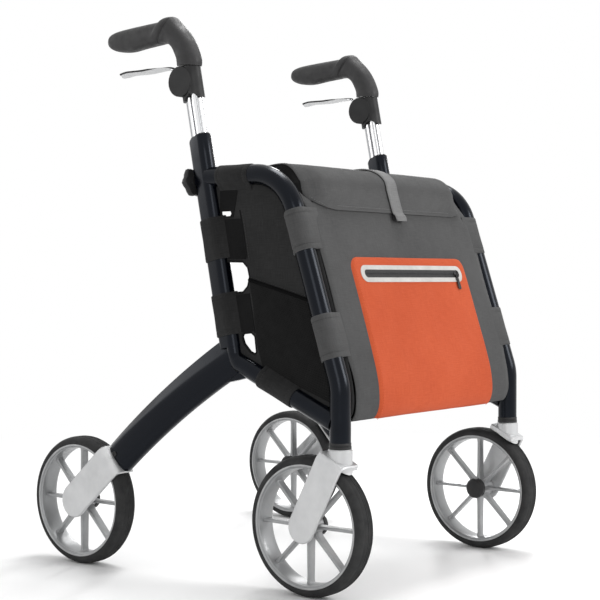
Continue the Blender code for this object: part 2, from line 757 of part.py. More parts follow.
def stem_solid(x, grow, low_z, high_z):
    """The handle stem, or the room for it when grow is a clearance."""
    return post_solid(x, STEM_FRONT_RADIUS + grow, STEM_REAR_RADIUS + grow, low_z, high_z,
                      STEM_WEB + grow)


def rear_post(side, name):
    x = side * FRAME_X
    item = post_solid(x, POST_FRONT_RADIUS, POST_REAR_RADIUS, POST_FOOT[1], POST_TOP_Z + WIDE)
    inside = stem_solid(x, RUNNING, STEM_LOW_Z - HANDLE_DOWN - STOP_SPARE, POST_TOP_Z + 2 * WIDE)
    top_y = POST_FOOT[0] + (POST_TOP_Z - POST_FOOT[1]) * POST_LEAN
    along = Vector((cos(POST_TOP_SLOPE), -sin(POST_TOP_SLOPE)))
    up = Vector((sin(POST_TOP_SLOPE), cos(POST_TOP_SLOPE)))
    knee = along * POST_TOP_KNEE
    steep = Vector((cos(POST_TOP_STEEP), -sin(POST_TOP_STEEP)))
    high = up * WIDE * 2
    corners = [along * -WIDE, knee, knee + steep * WIDE, along * WIDE + high, along * -WIDE + high]
    above = [(top_y + c.x, POST_TOP_Z + c.y) for c in corners]
    top = outline_solid([above], side_frame(x), -WIDE, WIDE)
    stud_hole = outline_solid([circle((0, 0), STUD_RADIUS + GAP, 16)], knob_frame(x),
                              LOBE_SPACING / 2, KNOB_BASE + 0.002)
    MAKER.cut(item, inside, top, stud_hole)
    MAKER.part(item, name, "frame")


def lower_tube(side, name):
    x = side * FRAME_X
    item = tube(lower_tube_path(x), LOWER_TUBE_RADIUS)
    grown = tube(front_tube_path(x), TUBE_RADIUS + GAP)
    MAKER.cut(item, grown, post_band(x), leg_band(x))
    MAKER.part(item, name, "frame")


def rear_leg(side, name):
    item = loft([leg_section(*station) for station in leg_stations(side)])
    hub = Vector((side * REAR_WHEEL_X, *REAR_AXLE))
    outward, up, lateral = fork_axes(side, rear_fork_away())
    reach = WHEEL_RADIUS + FORK_GAP + REAR_CROWN + GAP
    below = [(-WIDE, reach - WIDE), (WIDE, reach - WIDE), (WIDE, reach), (-WIDE, reach)]
    over_crown = outline_solid([below], placed(hub, outward, up, lateral), -WIDE, WIDE)
    MAKER.cut(item, over_crown, post_band(side * FRAME_X), shoe_pocket(side))
    MAKER.part(item, name, "frame")


def shoe_frame(side):
    hub = Vector((side * REAR_WHEEL_X, *REAR_AXLE))
    outward, up, lateral = fork_axes(side, rear_fork_away())
    return placed(hub, outward, lateral, up * -1)


def shoe_pocket(side):
    half_x = SHOE_WIDTH / 2 + GAP
    half_y = SHOE_HEIGHT / 2 + GAP
    box = [(-half_x, -half_y), (half_x, -half_y), (half_x, half_y), (-half_x, half_y)]
    deep = WHEEL_RADIUS + SHOE_LIFT + SHOE_LENGTH + SHOE_SPARE
    return outline_solid([box], shoe_frame(side), -deep, -WHEEL_RADIUS)


def brake_shoe(side, name, axis):
    half_x = SHOE_WIDTH / 2
    half_y = SHOE_HEIGHT / 2
    box = [(-half_x, -half_y), (half_x, -half_y), (half_x, half_y), (-half_x, half_y)]
    face = WHEEL_RADIUS + SHOE_LIFT
    item = outline_solid([box], shoe_frame(side), -face - SHOE_LENGTH, -face)
    MAKER.part(item, name, "tyre", axis)


def rear_fork(side, name):
    hub = Vector((side * REAR_WHEEL_X, *REAR_AXLE))
    top = WHEEL_RADIUS + FORK_GAP + REAR_CROWN
    item = fork_solid(side, hub, rear_fork_away(), REAR_ARM_HALF, top, LEG_WIDTH / 2)
    bevel(item, FORK_BEVEL)
    MAKER.freeze(item)
    MAKER.cut(item, axle_bore(side, hub, rear_fork_away()), shoe_pocket(side))
    MAKER.part(item, name, "silver")


def caster_fork(side, name, axis):
    hub = Vector((side * FRAME_X, *FRONT_AXLE))
    item = fork_solid(side, hub, caster_fork_away(), CASTER_ARM_HALF, CASTER_REACH, COLLAR_RADIUS)
    bevel(item, FORK_BEVEL)
    MAKER.freeze(item)
    profile = [(0, COLLAR_TOP), (COLLAR_RADIUS - 0.0015, COLLAR_TOP),
               (COLLAR_RADIUS, COLLAR_TOP - 0.0015), (COLLAR_RADIUS, WHEEL_RADIUS), (0, WHEEL_RADIUS)]
    collar = turned(profile, z_frame(hub.x, CASTER_Y, 0), 20)
    over_tyre = outline_solid([circle((0, 0), WHEEL_RADIUS + FORK_GAP + 0.0004, 36)],
                              x_frame(*hub), -WIDE, WIDE)
    MAKER.cut(collar, over_tyre)
    pin_hole = turned([(0, COLLAR_TOP + 0.002), (CASTER_PIN_RADIUS + GAP, COLLAR_TOP + 0.002),
                       (CASTER_PIN_RADIUS + GAP, COLLAR_TOP - PIN_SEAT), (0, COLLAR_TOP - PIN_SEAT)],
                      z_frame(hub.x, CASTER_Y, 0), 16)
    MAKER.join(item, collar)
    MAKER.cut(item, pin_hole, axle_bore(side, hub, caster_fork_away()))
    MAKER.part(item, name, "silver", axis)


def caster_pin(side, name, axis):
    low = COLLAR_TOP - PIN_SEAT + GAP
    profile = [(0, CASTER_PIN_TOP), (CASTER_PIN_RADIUS - 0.001, CASTER_PIN_TOP),
               (CASTER_PIN_RADIUS, CASTER_PIN_TOP - 0.001), (CASTER_PIN_RADIUS, low), (0, low)]
    item = turned(profile, z_frame(side * FRAME_X, CASTER_Y, 0), 16)
    MAKER.part(item, name, "steel", axis)


def caster_bush(side, name):
    """A flanged plastic bush in the foot of the front tube, closed above the pin."""
    bore = CASTER_PIN_RADIUS + RUNNING
    outer = TUBE_RADIUS - TUBE_WALL - GAP
    low = CASTER_FLOOR
    step = low + BUSH_FLANGE
    high = TUBE_END_Z + BUSH_HEIGHT
    end = CASTER_PIN_TOP + GAP
    profile = [(0, high), (outer, high), (outer, step), (BUSH_FLANGE_RADIUS, step),
               (BUSH_FLANGE_RADIUS, low), (bore, low), (bore, end), (0, end)]
    MAKER.part(turned(profile, z_frame(side * FRAME_X, CASTER_Y, 0), 16), name, "black")


def wheel_frame(side, hub):
    """Local Z points outwards along the axle, with a facet of the tyre at the floor."""
    if side > 0:
        return x_frame(*hub)
    return placed(hub, Vector((0, 0, 1)), Vector((0, 1, 0)), Vector((-1, 0, 0)))


def tyre(side, hub, name, axis):
    outer = WHEEL_RADIUS / cos(pi / WHEEL_SIDES)
    inner = WHEEL_RADIUS - TYRE_DEPTH + GAP
    half = TYRE_WIDTH / 2
    profile = [(outer, TREAD_FLAT)] + [(outer - down, half - side_in) for down, side_in in TYRE_SHOULDER]
    profile.append((inner, half - 2 * GAP))
    profile = profile[::-1] + [(radius, -across) for radius, across in profile]
    item = turned(profile, wheel_frame(side, hub), WHEEL_SIDES)
    MAKER.part(item, name, "tyre", axis, 50)


def rim(side, hub, name, axis):
    outer = WHEEL_RADIUS - TYRE_DEPTH
    half = RIM_WIDTH / 2
    inner = outer - RIM_DEPTH
    ring = [(outer, half), (outer, -half), (inner + RIM_CROWN, -half), (inner, 0.0),
            (inner + RIM_CROWN, half)]
    frame = wheel_frame(side, hub)
    item = turned(ring, frame, WHEEL_SIDES)
    hub_out = ARM_INNER - GAP
    hub_in = -HUB_INNER
    bore = AXLE_RADIUS + RUNNING
    boss = turned([(bore, hub_out), (HUB_RADIUS, hub_out), (HUB_RADIUS, hub_in), (bore, hub_in)], frame, 16)
    blades = []
    for k in range(SPOKES):
        turn = frame @ Matrix.Rotation(2 * pi * k / SPOKES, 4, "Z")
        blade_frame = turn @ Matrix.Rotation(pi / 2, 4, "X")
        start, stop = HUB_RADIUS - SPOKE_ROOT, inner + SPOKE_ROOT
        blade = [(start, -SPOKE_HUB_HALF), (stop, -SPOKE_RIM_HALF),
                 (stop, SPOKE_RIM_HALF), (start, SPOKE_HUB_HALF)]
        blades.append(outline_solid([blade], blade_frame, -SPOKE_THICKNESS / 2, SPOKE_THICKNESS / 2))
    MAKER.part(MAKER.join(item, boss, *blades), name, "rim", axis)


def axle(side, hub, name, axis):
    end = ARM_INNER + AXLE_SEAT
    seat = -HUB_INNER - GAP
    head = seat - AXLE_HEAD
    profile = [(0, end), (AXLE_RADIUS - 0.0008, end), (AXLE_RADIUS, end - 0.0008), (AXLE_RADIUS, seat),
               (AXLE_HEAD_RADIUS, seat), (AXLE_HEAD_RADIUS, head), (0, head)]
    MAKER.part(turned(profile, wheel_frame(side, hub), 12), name, "steel", axis)


def hub_cap(side, hub, name, axis):
    """A plastic cap that clips over the inner end of the hub and hides the axle's head."""
    skirt = HUB_RADIUS + GAP
    outer = skirt + 0.0012
    face = -HUB_INNER - GAP
    room = face - AXLE_HEAD - 2 * GAP
    top = room - 0.0022
    profile = [(0, room), (skirt, room), (skirt, face + 0.004), (outer, face + 0.004),
               (outer, top + 0.0030), (outer - 0.0040, top), (0, top)]
    MAKER.part(turned(profile, wheel_frame(side, hub), 16), name, "black", axis)


def knob_frame(x):
    """Local Z points rearwards, square to the post, at the knob's height."""
    frame = post_frame(x)
    centre = frame @ Vector((0, 0, up_post(KNOB_Z)))
    rear = frame.col[1].xyz
    across = Vector((1, 0, 0))
    return placed(centre, across, rear.cross(across), rear)


def height_knob(side, name, axis):
    frame = knob_frame(side * FRAME_X)
    rings = ((0.0, 0.94), (0.18, 1.0), (0.60, 0.98), (0.87, 0.88), (1.0, 0.74))
    sections = []
    for share, scale in rings:
        ring = []
        for k in range(KNOB_LOBES * 4):
            angle = 2 * pi * k / (KNOB_LOBES * 4)
            radius = (KNOB_RADIUS + KNOB_LOBE_DEPTH * cos(KNOB_LOBES * angle)) * scale
            height = KNOB_BASE + KNOB_NECK + KNOB_THICKNESS * share
            place = Vector((radius * cos(angle), radius * sin(angle), height))
            ring.append(frame @ place)
        sections.append(ring)
    item = loft(sections)
    tip = LOBE_SPACING / 2 + STEM_REAR_RADIUS + GAP
    neck = KNOB_BASE + GAP
    stud = turned([(0, neck + KNOB_NECK + 0.001), (KNOB_NECK_RADIUS, neck + KNOB_NECK + 0.001),
                   (KNOB_NECK_RADIUS, neck), (STUD_RADIUS, neck), (STUD_RADIUS, tip), (0, tip)], frame, 16)
    MAKER.part(MAKER.join(item, stud), name, "black", axis)


def handle_stem(side, name, axis):
    item = stem_solid(side * FRAME_X, 0.0, STEM_LOW_Z, STEM_HIGH_Z)
    MAKER.part(item, name, "chrome", axis)


def lever_slot(x):
    """The slot in the housing for the lever's hub and the sector that its arm sweeps."""
    hub = arc(LEVER_PIVOT, LEVER_HUB_RADIUS + 2 * GAP, radians(100), radians(380), 15)
    low = radians(22)
    reach = HOUSING_DISC_RADIUS + 0.010
    sector = arc(LEVER_PIVOT, reach, low, radians(86), 8)
    half = LEVER_HUB_WIDTH / 2 + 2 * GAP
    return outline_solid([hub + sector], side_frame(x), -half, half)


def brake_housing(side, name, axis):
    x = side * FRAME_X
    item = post_solid(x, STEM_FRONT_RADIUS + HOUSING_WALL, STEM_REAR_RADIUS + HOUSING_WALL,
                      HOUSING_LOW_Z, HOUSING_TOP_Z + 0.010)
    half = HOUSING_DISC_WIDTH / 2
    disc = outline_solid([circle(LEVER_PIVOT, HOUSING_DISC_RADIUS, 24)], side_frame(x), -half, half)
    bevel(disc, 0.0030)
    MAKER.freeze(disc)
    MAKER.join(item, disc)
    box = [(-WIDE, HOUSING_TOP_Z), (WIDE * 2, HOUSING_TOP_Z), (WIDE * 2, HOUSING_TOP_Z + WIDE),
           (-WIDE, HOUSING_TOP_Z + WIDE)]
    above = outline_solid([box], side_frame(x), -WIDE, WIDE)
    arch = outline_solid([circle(HOUSING_ARCH, HOUSING_ARCH_RADIUS, 20)], side_frame(x), -WIDE, WIDE)
    pin = outline_solid([circle(LEVER_PIVOT, LEVER_PIN_RADIUS + GAP, 16)], side_frame(x),
                        -LEVER_PIN_HALF - GAP, LEVER_PIN_HALF + GAP)
    MAKER.cut(item, above, arch, stem_solid(x, GAP, STEM_LOW_Z, STEM_HIGH_Z + GAP),
              lever_slot(x), pin)
    MAKER.part(item, name, "black", axis)


def lever_pin(side, name, axis):
    item = outline_solid([circle(LEVER_PIVOT, LEVER_PIN_RADIUS, 16)], side_frame(side * FRAME_X),
                         -LEVER_PIN_HALF, LEVER_PIN_HALF)
    MAKER.part(item, name, "steel", axis)


def grip(side, name, axis):
    sections = []
    end = Vector((side * FRAME_X, STEM_END_Y, STEM_HIGH_Z))
    for upper_y, upper_z, lower_y, lower_z, half in smooth_path(GRIP_STATIONS, 2):
        upper = end + Vector((0, upper_y, upper_z))
        lower = end + Vector((0, lower_y, lower_z))
        centre = (upper + lower) / 2
        rise = (upper - lower) / 2
        ring = []
        for k in range(GRIP_SIDES):
            angle = 2 * pi * k / GRIP_SIDES
            across = Vector((half * squared(cos(angle)), 0, 0))
            ring.append(centre + across + rise * squared(sin(angle)))
        sections.append(ring)
    MAKER.part(loft(sections), name, "grip", axis, 60)


def squared(value, power=0.85):
    """Fills an ellipse out a little towards a rounded rectangle."""
    return (1 if value >= 0 else -1) * abs(value) ** power


def from_pivot(place):
    """A (y, z) point given from the lever's pivot."""
    return LEVER_PIVOT[0] + place[0], LEVER_PIVOT[1] + place[1]


def brake_lever(side, name, axis):
    """A hub on the pin, a short arm, and a broad paddle under the grip."""
    x = side * FRAME_X
    half = LEVER_HUB_WIDTH / 2
    hub = outline_solid([circle(LEVER_PIVOT, LEVER_HUB_RADIUS, 20)], side_frame(x), -half, half)
    arm_path = smooth_path([from_pivot(place) for place in ((0, 0), *LEVER_ARM)], 2)
    arm = strip(arm_path, [half - GAP] * len(arm_path), LEVER_ARM_THICKNESS, x)
    path = smooth_path([from_pivot(place) for place in LEVER_PADDLE], 2)
    widths = []
    for k in range(len(path)):
        share = k / (len(path) - 1)
        widths.append(LEVER_HALF_ROOT + (LEVER_HALF_TIP - LEVER_HALF_ROOT) * share)
    widths[0] = half + 2 * GAP
    widths[-1] = LEVER_HALF_TIP * 0.6
    paddle = strip(path, widths, LEVER_SHEET, x)
    MAKER.join(hub, arm, paddle)
    hole = outline_solid([circle(LEVER_PIVOT, LEVER_PIN_RADIUS + RUNNING, 16)], side_frame(x), -WIDE, WIDE)
    MAKER.part(MAKER.cut(hub, hole), name, "silver", axis)


def bar_depths(side):
    """Where each bar lies through the brace: the right one in front of the left one."""
    if side < 0:
        return BAR_SPLIT, BAR_SPLIT + BAR_THICKNESS
    return -BAR_SPLIT - BAR_THICKNESS, -BAR_SPLIT


def cross_bar(side, name, axis):
    """A flat bar from one side's lower pivot to the peg on the other side's saddle."""
    foot = (side * BRACE_X, 0.0)
    head = (-side * BRACE_X, BRACE_RISE)
    centre = (0.0, BRACE_RISE / 2)
    near, far = bar_depths(side)
    outline = pill(foot, head, BAR_HALF_HEIGHT, BAR_HALF_HEIGHT)
    holes = [circle(place, PIVOT_RADIUS + RUNNING, 12) for place in (foot, centre)]
    item = outline_solid([outline, *holes], brace_frame(), near, far)
    peg = outline_solid([circle(head, PEG_RADIUS, 16)], brace_frame(), -PEG_REACH, far - 0.001)
    MAKER.part(MAKER.join(item, peg), name, "black", axis)


def centre_pin(name, axis):
    reach = BAR_SPLIT + BAR_THICKNESS + GAP
    head = reach + PIVOT_HEAD
    profile = [(0, head), (PIVOT_HEAD_RADIUS, head), (PIVOT_HEAD_RADIUS, reach), (PIVOT_RADIUS, reach),
               (PIVOT_RADIUS, -reach), (PIVOT_HEAD_RADIUS, -reach), (PIVOT_HEAD_RADIUS, -head), (0, -head)]
    item = turned(profile, brace_frame() @ Matrix.Translation((0, BRACE_RISE / 2, 0)), 12)
    MAKER.part(item, name, "steel", axis)


def fold_bracket(side, name):
    """A tab on the lower tube with the pin that its cross bar turns on."""
    near, far = bar_depths(side)
    seat = -BAR_SPLIT - BAR_THICKNESS - 0.0010
    place = (side * BRACE_X, 0.0)
    tab = outline_solid([pill(place, (side * (FRAME_X - 0.004), 0.0), TAB_HALF, TAB_HALF)],
                        brace_frame(), seat - TAB_THICKNESS, seat)
    head = far + GAP + PIVOT_HEAD
    profile = [(0, head), (PIVOT_HEAD_RADIUS, head), (PIVOT_HEAD_RADIUS, far + GAP),
               (PIVOT_RADIUS, far + GAP), (PIVOT_RADIUS, near - GAP), (PIVOT_HEAD_RADIUS, near - GAP),
               (PIVOT_HEAD_RADIUS, seat - 0.001), (0, seat - 0.001)]
    pin = turned(profile, brace_frame() @ Matrix.Translation((*place, 0)), 12)
    MAKER.join(tab, pin)
    MAKER.cut(tab, tube(lower_tube_path(side * FRAME_X), LOWER_TUBE_RADIUS + GAP))
    MAKER.part(tab, name, "frame")


def fold_saddle(side, name):
    """A hook under the top tube that the other bar's peg drops into."""
    frame = brace_frame()
    head = (side * BRACE_X, BRACE_RISE)
    inner = PEG_RADIUS + GAP
    outer = inner + CRADLE_WALL
    ring = arc(head, outer, pi, 2 * pi, 9) + arc(head, inner, 2 * pi, pi, 9)
    cradle = outline_solid([ring], frame, -PEG_REACH, CRADLE_LENGTH - PEG_REACH)
    centre = frame @ Vector((side * BRACE_X, BRACE_RISE, -PEG_REACH + CRADLE_LENGTH / 2))
    half = CRADLE_LENGTH / 2
    tube_y = SADDLE_TUBE_Y
    plate = [(centre.y - half, centre.z - outer * 0.55), (centre.y + half, centre.z - outer * 0.55),
             (centre.y + half, centre.z + 0.012), (tube_y + 0.0035, TOP_TUBE_Z - TUBE_RADIUS),
             (tube_y + 0.0035, TOP_TUBE_Z + 0.004), (tube_y - 0.0035, TOP_TUBE_Z + 0.004),
             (tube_y - 0.0035, TOP_TUBE_Z - TUBE_RADIUS), (centre.y - half, centre.z + 0.012)]
    low = BRACE_X + PEG_RADIUS + 0.0010
    sheet = outline_solid([plate], side_frame(0), min(side * low, side * (low + SADDLE_PLATE)),
                          max(side * low, side * (low + SADDLE_PLATE)))
    boss_box = [(tube_y - 0.0030, TOP_TUBE_Z - 0.006), (tube_y + 0.0030, TOP_TUBE_Z - 0.006),
                (tube_y + 0.0030, TOP_TUBE_Z + 0.003), (tube_y - 0.0030, TOP_TUBE_Z + 0.003)]
    ends = sorted((side * (low + 0.001), side * (FRAME_X - TUBE_RADIUS + 0.004)))
    boss = outline_solid([boss_box], side_frame(0), *ends)
    item = MAKER.join(cradle, sheet, boss)
    MAKER.cut(item, tube(front_tube_path(side * FRAME_X), TUBE_RADIUS + GAP))
    MAKER.part(item, name, "black")


def between(path_start, path_end, first, second):
    """The two points at heights or depths first and second on a straight line."""
    start, end = Vector(path_start), Vector(path_end)
    span = end - start
    shares = ((first - start[1]) / span[1], (second - start[1]) / span[1])
    return [start + span * share for share in shares]


def side_panel(side, name):
    """The bag's side: a flat cloth with sleeves round the tubes and bound cut-outs."""
    x = side * FRAME_X
    path = [(p.y, p.z) for p in front_tube_path(x)]
    post = [(POST_FOOT[0] + (z - POST_FOOT[1]) * POST_LEAN, z) for z in (0.350, TOP_TUBE_Z)]
    border = [p for p in path[1:] if p[1] > PANEL_LOW_Z] + [(KNEE[0], PANEL_LOW_Z)]
    border += [LOWER_TUBE_REAR, post[0], post[1]]
    half = PANEL_THICKNESS / 2
    item = outline_solid([border], side_frame(x), -half, half)
    holes = [[(y, TOP_TUBE_Z - drop) for y, drop in hole] for hole in (TOP_HOLE, MIDDLE_HOLE)]
    holes.append([(y, POST_FOOT[1] + rise) for y, rise in LOW_HOLE])
    MAKER.cut(item, *[outline_solid([hole], side_frame(x), -WIDE / 2, WIDE / 2) for hole in holes])
    slope_end = (TOP_CORNER_Y, TOP_TUBE_Z)
    upper = [TOP_TUBE_Z - drop for drop in UPPER_SLEEVE]
    lower = [KNEE_Z + rise for rise in KNEE_SLEEVE]
    for high, low in (upper, lower):
        ends = between(slope_end, KNEE, high, low)
        sleeve = tube([Vector((x, *p)) for p in ends], SLEEVE_OUT)
        MAKER.join(item, sleeve)
    top = tube([Vector((x, y, TOP_TUBE_Z)) for y in TOP_SLEEVE], SLEEVE_OUT)
    low_heights = [LOWER_TUBE_REAR[1] - drop for drop in LOWER_SLEEVE]
    low_ends = [Vector((x, *p)) for p in between(LOWER_TUBE_REAR, LOWER_TUBE_FRONT, *low_heights)]
    low = tube(low_ends, LOWER_TUBE_RADIUS + GAP + SLEEVE_WALL)
    grow = GAP + SLEEVE_WALL
    post_high = [TOP_TUBE_Z - drop for drop in POST_SLEEVE_HIGH]
    post_low = [POST_FOOT[1] + rise for rise in POST_SLEEVE_LOW]
    backs = [post_solid(x, POST_FRONT_RADIUS + grow, POST_REAR_RADIUS + grow, low_z, high_z)
             for high_z, low_z in (post_high, post_low)]
    MAKER.join(item, top, low, *backs)
    MAKER.cut(item, tube(front_tube_path(x), TUBE_RADIUS + GAP),
              tube(lower_tube_path(x), LOWER_TUBE_RADIUS + GAP),
              post_solid(x, POST_FRONT_RADIUS + GAP, POST_REAR_RADIUS + GAP, POST_FOOT[1], POST_TOP_Z))
    MAKER.part(item, name, "charcoal")


def front_line(z):
    """Depth of the bag's front face at a height on its straight slope."""
    lean = (TOP_CORNER_Y - KNEE[0]) / (TOP_TUBE_Z - KNEE[1])
    return TOP_CORNER_Y - (TOP_TUBE_Z - z) * lean - FRONT_FACE * sqrt(1 + lean ** 2)


def back_line(z, depth=BACK_FACE):
    point = brace_frame() @ Vector((0, 0, depth))
    lean = (BRACE_HEAD[0] - BRACE_FOOT[0]) / (BRACE_HEAD[1] - BRACE_FOOT[1])
    return point.y + (z - point.z) * lean


def offset_path(path, distance):
    """The path moved outwards, to the left of its direction of travel."""
    moved = []
    for k, point in enumerate(path):
        before, after = Vector(path[max(k - 1, 0)]), Vector(path[min(k + 1, len(path) - 1)])
        along = (after - before).normalized()
        moved.append((point[0] + along.y * distance, point[1] - along.x * distance))
    return moved


def front_face(*heights):
    """Outer face of the bag's front at the heights, then round its bottom edge."""
    rows = [(front_line(z), z) for z in heights]
    return rows + [(BAG_BOTTOM_Y + back, BAG_BOTTOM_Z + rise) for back, rise in BAG_EDGE]


def bag_shell(name):
    """Front, floor and back of the bag in one sewn piece, open above."""
    half = SHELL_THICKNESS / 2
    face = front_face(BAG_TOP_Z, *[BAG_TOP_Z - drop for drop in FACE_DROPS])
    face += [(BAG_BOTTOM_Y + back, BAG_BOTTOM_Z + rise) for back, rise in BAG_FLOOR]
    path = offset_path(face, -half)
    back_heights = [BAG_BOTTOM_Z + rise for rise in BACK_HEIGHTS] + [BAG_TOP_Z + BACK_SPARE]
    path += [(back_line(z) - half, z) for z in back_heights]
    item = strip(path, [SHELL_HALF_WIDTH] * len(path), SHELL_THICKNESS)
    MAKER.part(item, name, "grey", None, 60)


def pocket_panel(name):
    """The front pocket, a padded panel in front of the shell."""
    heights = [BAG_TOP_Z - drop for drop in (POCKET_DROP, *FACE_DROPS)]
    path = offset_path(front_face(*heights), POCKET_THICKNESS / 2 + 2 * GAP)
    spread = POCKET_HALF_BOTTOM - POCKET_HALF_TOP
    widths = [POCKET_HALF_TOP + spread * k / (len(path) - 1) for k in range(len(path))]
    item = strip(path, widths, POCKET_THICKNESS)
    MAKER.part(item, name, "orange", None, 60)


def lid_path():
    """From the hinge over the crest and down the front, (y, z) of the sheet's middle."""
    depth = front_line(BAG_TOP_Z) - LID_HINGE[0]
    crest = [LID_HINGE] + [(LID_HINGE[0] + depth * share, LID_HINGE[1] + rise) for share, rise in LID_CREST]
    front = [(front_line(BAG_TOP_Z - drop), BAG_TOP_Z - drop) for drop in LID_DROPS]
    return crest + offset_path(front, LID_THICKNESS / 2 + 2 * GAP)


def lid(name, axis):
    widths = [LID_HALF_WIDTH] * len(LID_CREST)
    widths += [LID_HALF_WIDTH - cut for cut in LID_CUT] + [LID_HALF_FRONT]
    MAKER.part(strip(lid_path(), widths, LID_THICKNESS), name, "grey", axis, 60)


def lid_strap(name, axis):
    away = LID_THICKNESS / 2 + 2 * GAP + STRAP_THICKNESS / 2
    path = offset_path(lid_path()[2:], away)
    past_clip = CLIP_SIZE[1] + 5 * GAP + STRAP_THICKNESS / 2
    path += offset_path([(front_line(z), z) for z in (LID_FRONT_Z - 5 * GAP, STRAP_END_Z)], past_clip)
    item = strip(path, [STRAP_WIDTH / 2] * len(path), STRAP_THICKNESS)
    MAKER.part(item, name, "webbing", axis, 60)


def strap_clip(name, axis):
    """The catch on the back of the strap's end."""
    width, depth, height = CLIP_SIZE
    middle = STRAP_END_Z + height / 2
    lean = (TOP_CORNER_Y - KNEE[0]) / (TOP_TUBE_Z - KNEE[1])
    up = Vector((0, lean, 1)).normalized()
    y = front_line(middle) - (2 * GAP + depth / 2) / up.z
    across = Vector((1, 0, 0))
    frame = placed(Vector((0, y, middle)), across, up, across.cross(up))
    box = [(-width / 2, -height / 2), (width / 2, -height / 2), (width / 2, height / 2),
           (-width / 2, height / 2)]
    item = outline_solid([box], frame, -depth / 2, depth / 2)
    bevel(item, 0.0010)
    MAKER.freeze(item)
    MAKER.part(item, name, "black", axis)


def build_side(side, word, fold):
    """All pieces of one side frame; fold is the empty that carries it, or None."""
    x = side * FRAME_X
    front_hub = Vector((x, *FRONT_AXLE))
    rear_hub = Vector((side * REAR_WHEEL_X, *REAR_AXLE))
    post = post_frame(x)
    slide = MAKER.axis(f"{word}_handle_axis", post @ Vector((0, 0, up_post(STEM_HIGH_Z))), fold)
    swing = MAKER.axis(f"{word}_lever_axis", (x, *LEVER_PIVOT), slide)
    turn = MAKER.axis(f"{word}_knob_axis", knob_frame(x).translation, fold)
    swivel = MAKER.axis(f"{word}_caster_axis", (x, CASTER_Y, COLLAR_TOP), fold)
    front_spin = MAKER.axis(f"{word}_front_wheel_axis", front_hub, swivel)
    rear_spin = MAKER.axis(f"{word}_rear_wheel_axis", rear_hub, fold)
    push = MAKER.axis(f"{word}_shoe_axis", rear_hub, fold)
    front_tube(side, f"{word}_front_tube")
    rear_post(side, f"{word}_rear_post")
    lower_tube(side, f"{word}_lower_tube")
    rear_leg(side, f"{word}_rear_leg")
    rear_fork(side, f"{word}_rear_fork")
    caster_bush(side, f"{word}_caster_bush")
    fold_bracket(side, f"{word}_fold_bracket")
    fold_saddle(side, f"{word}_fold_saddle")
    side_panel(side, f"{word}_side_panel")
    axle(side, rear_hub, f"{word}_rear_axle", None)
    if fold is not None:
        for item in MAKER.parts.objects:
            if item.type == "MESH" and item.name.startswith(word) and item.parent is None:
                item.parent = fold
                item.matrix_parent_inverse = fold.matrix_world.inverted()
    caster_fork(side, f"{word}_caster_fork", swivel)
    caster_pin(side, f"{word}_caster_pin", swivel)
    axle(side, front_hub, f"{word}_front_axle", swivel)
    for end, hub, spin in (("front", front_hub, front_spin), ("rear", rear_hub, rear_spin)):
        tyre(side, hub, f"{word}_{end}_tyre", spin)
        rim(side, hub, f"{word}_{end}_rim", spin)
        hub_cap(side, hub, f"{word}_{end}_hub_cap", spin)
    brake_shoe(side, f"{word}_brake_shoe", push)
    handle_stem(side, f"{word}_handle_stem", slide)
    brake_housing(side, f"{word}_brake_housing", slide)
    lever_pin(side, f"{word}_lever_pin", slide)
    grip(side, f"{word}_grip", slide)
    brake_lever(side, f"{word}_brake_lever", swing)
    height_knob(side, f"{word}_height_knob", turn)


def build():
    """The right frame stands still; the left one hangs from the two cross bars."""
    frame = brace_frame()
    right_foot = MAKER.axis("right_bar_axis", frame @ Vector((-BRACE_X, 0, 0)))
    middle = MAKER.axis("centre_pin_axis", frame @ Vector((0, BRACE_RISE / 2, 0)), right_foot)
    left_foot = MAKER.axis("fold_axis", frame @ Vector((BRACE_X, 0, 0)), middle)
    build_side(-1, "right", None)
    build_side(1, "left", left_foot)
    cross_bar(-1, "right_cross_bar", right_foot)
    centre_pin("centre_pin", right_foot)
    cross_bar(1, "left_cross_bar", middle)
    bag_shell("bag_shell")
    pocket_panel("pocket_panel")
    hinge = MAKER.axis("lid_axis", (0, *LID_HINGE))
    lid("lid", hinge)
    lid_strap("lid_strap", hinge)
    strap_clip("strap_clip", hinge)


clear_scene()
MAKER = Maker()
build()
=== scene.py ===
from math import asin, cos, pi, radians, sin, sqrt

import bmesh
import bpy
from mathutils import Matrix, Vector, noise


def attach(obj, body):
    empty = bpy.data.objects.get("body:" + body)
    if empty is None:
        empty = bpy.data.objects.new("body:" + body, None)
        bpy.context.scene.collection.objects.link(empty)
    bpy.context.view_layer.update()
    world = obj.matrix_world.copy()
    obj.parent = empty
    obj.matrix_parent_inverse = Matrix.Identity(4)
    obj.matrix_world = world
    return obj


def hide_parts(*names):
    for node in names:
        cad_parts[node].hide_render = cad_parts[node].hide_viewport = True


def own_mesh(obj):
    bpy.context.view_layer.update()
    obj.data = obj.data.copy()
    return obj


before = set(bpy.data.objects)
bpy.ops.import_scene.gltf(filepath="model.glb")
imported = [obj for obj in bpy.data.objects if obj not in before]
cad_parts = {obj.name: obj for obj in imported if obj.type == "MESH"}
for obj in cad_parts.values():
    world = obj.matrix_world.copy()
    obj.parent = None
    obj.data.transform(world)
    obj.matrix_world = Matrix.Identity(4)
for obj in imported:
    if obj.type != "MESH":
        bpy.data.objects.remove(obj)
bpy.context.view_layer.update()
SIDES = ((-1, "right"), (1, "left"))
X, Y, Z = Matrix.Identity(3)


def mm(*points):
    """Points given in millimetres, in metres."""
    return [tuple(value / 1000 for value in point) for point in points]


# Materials

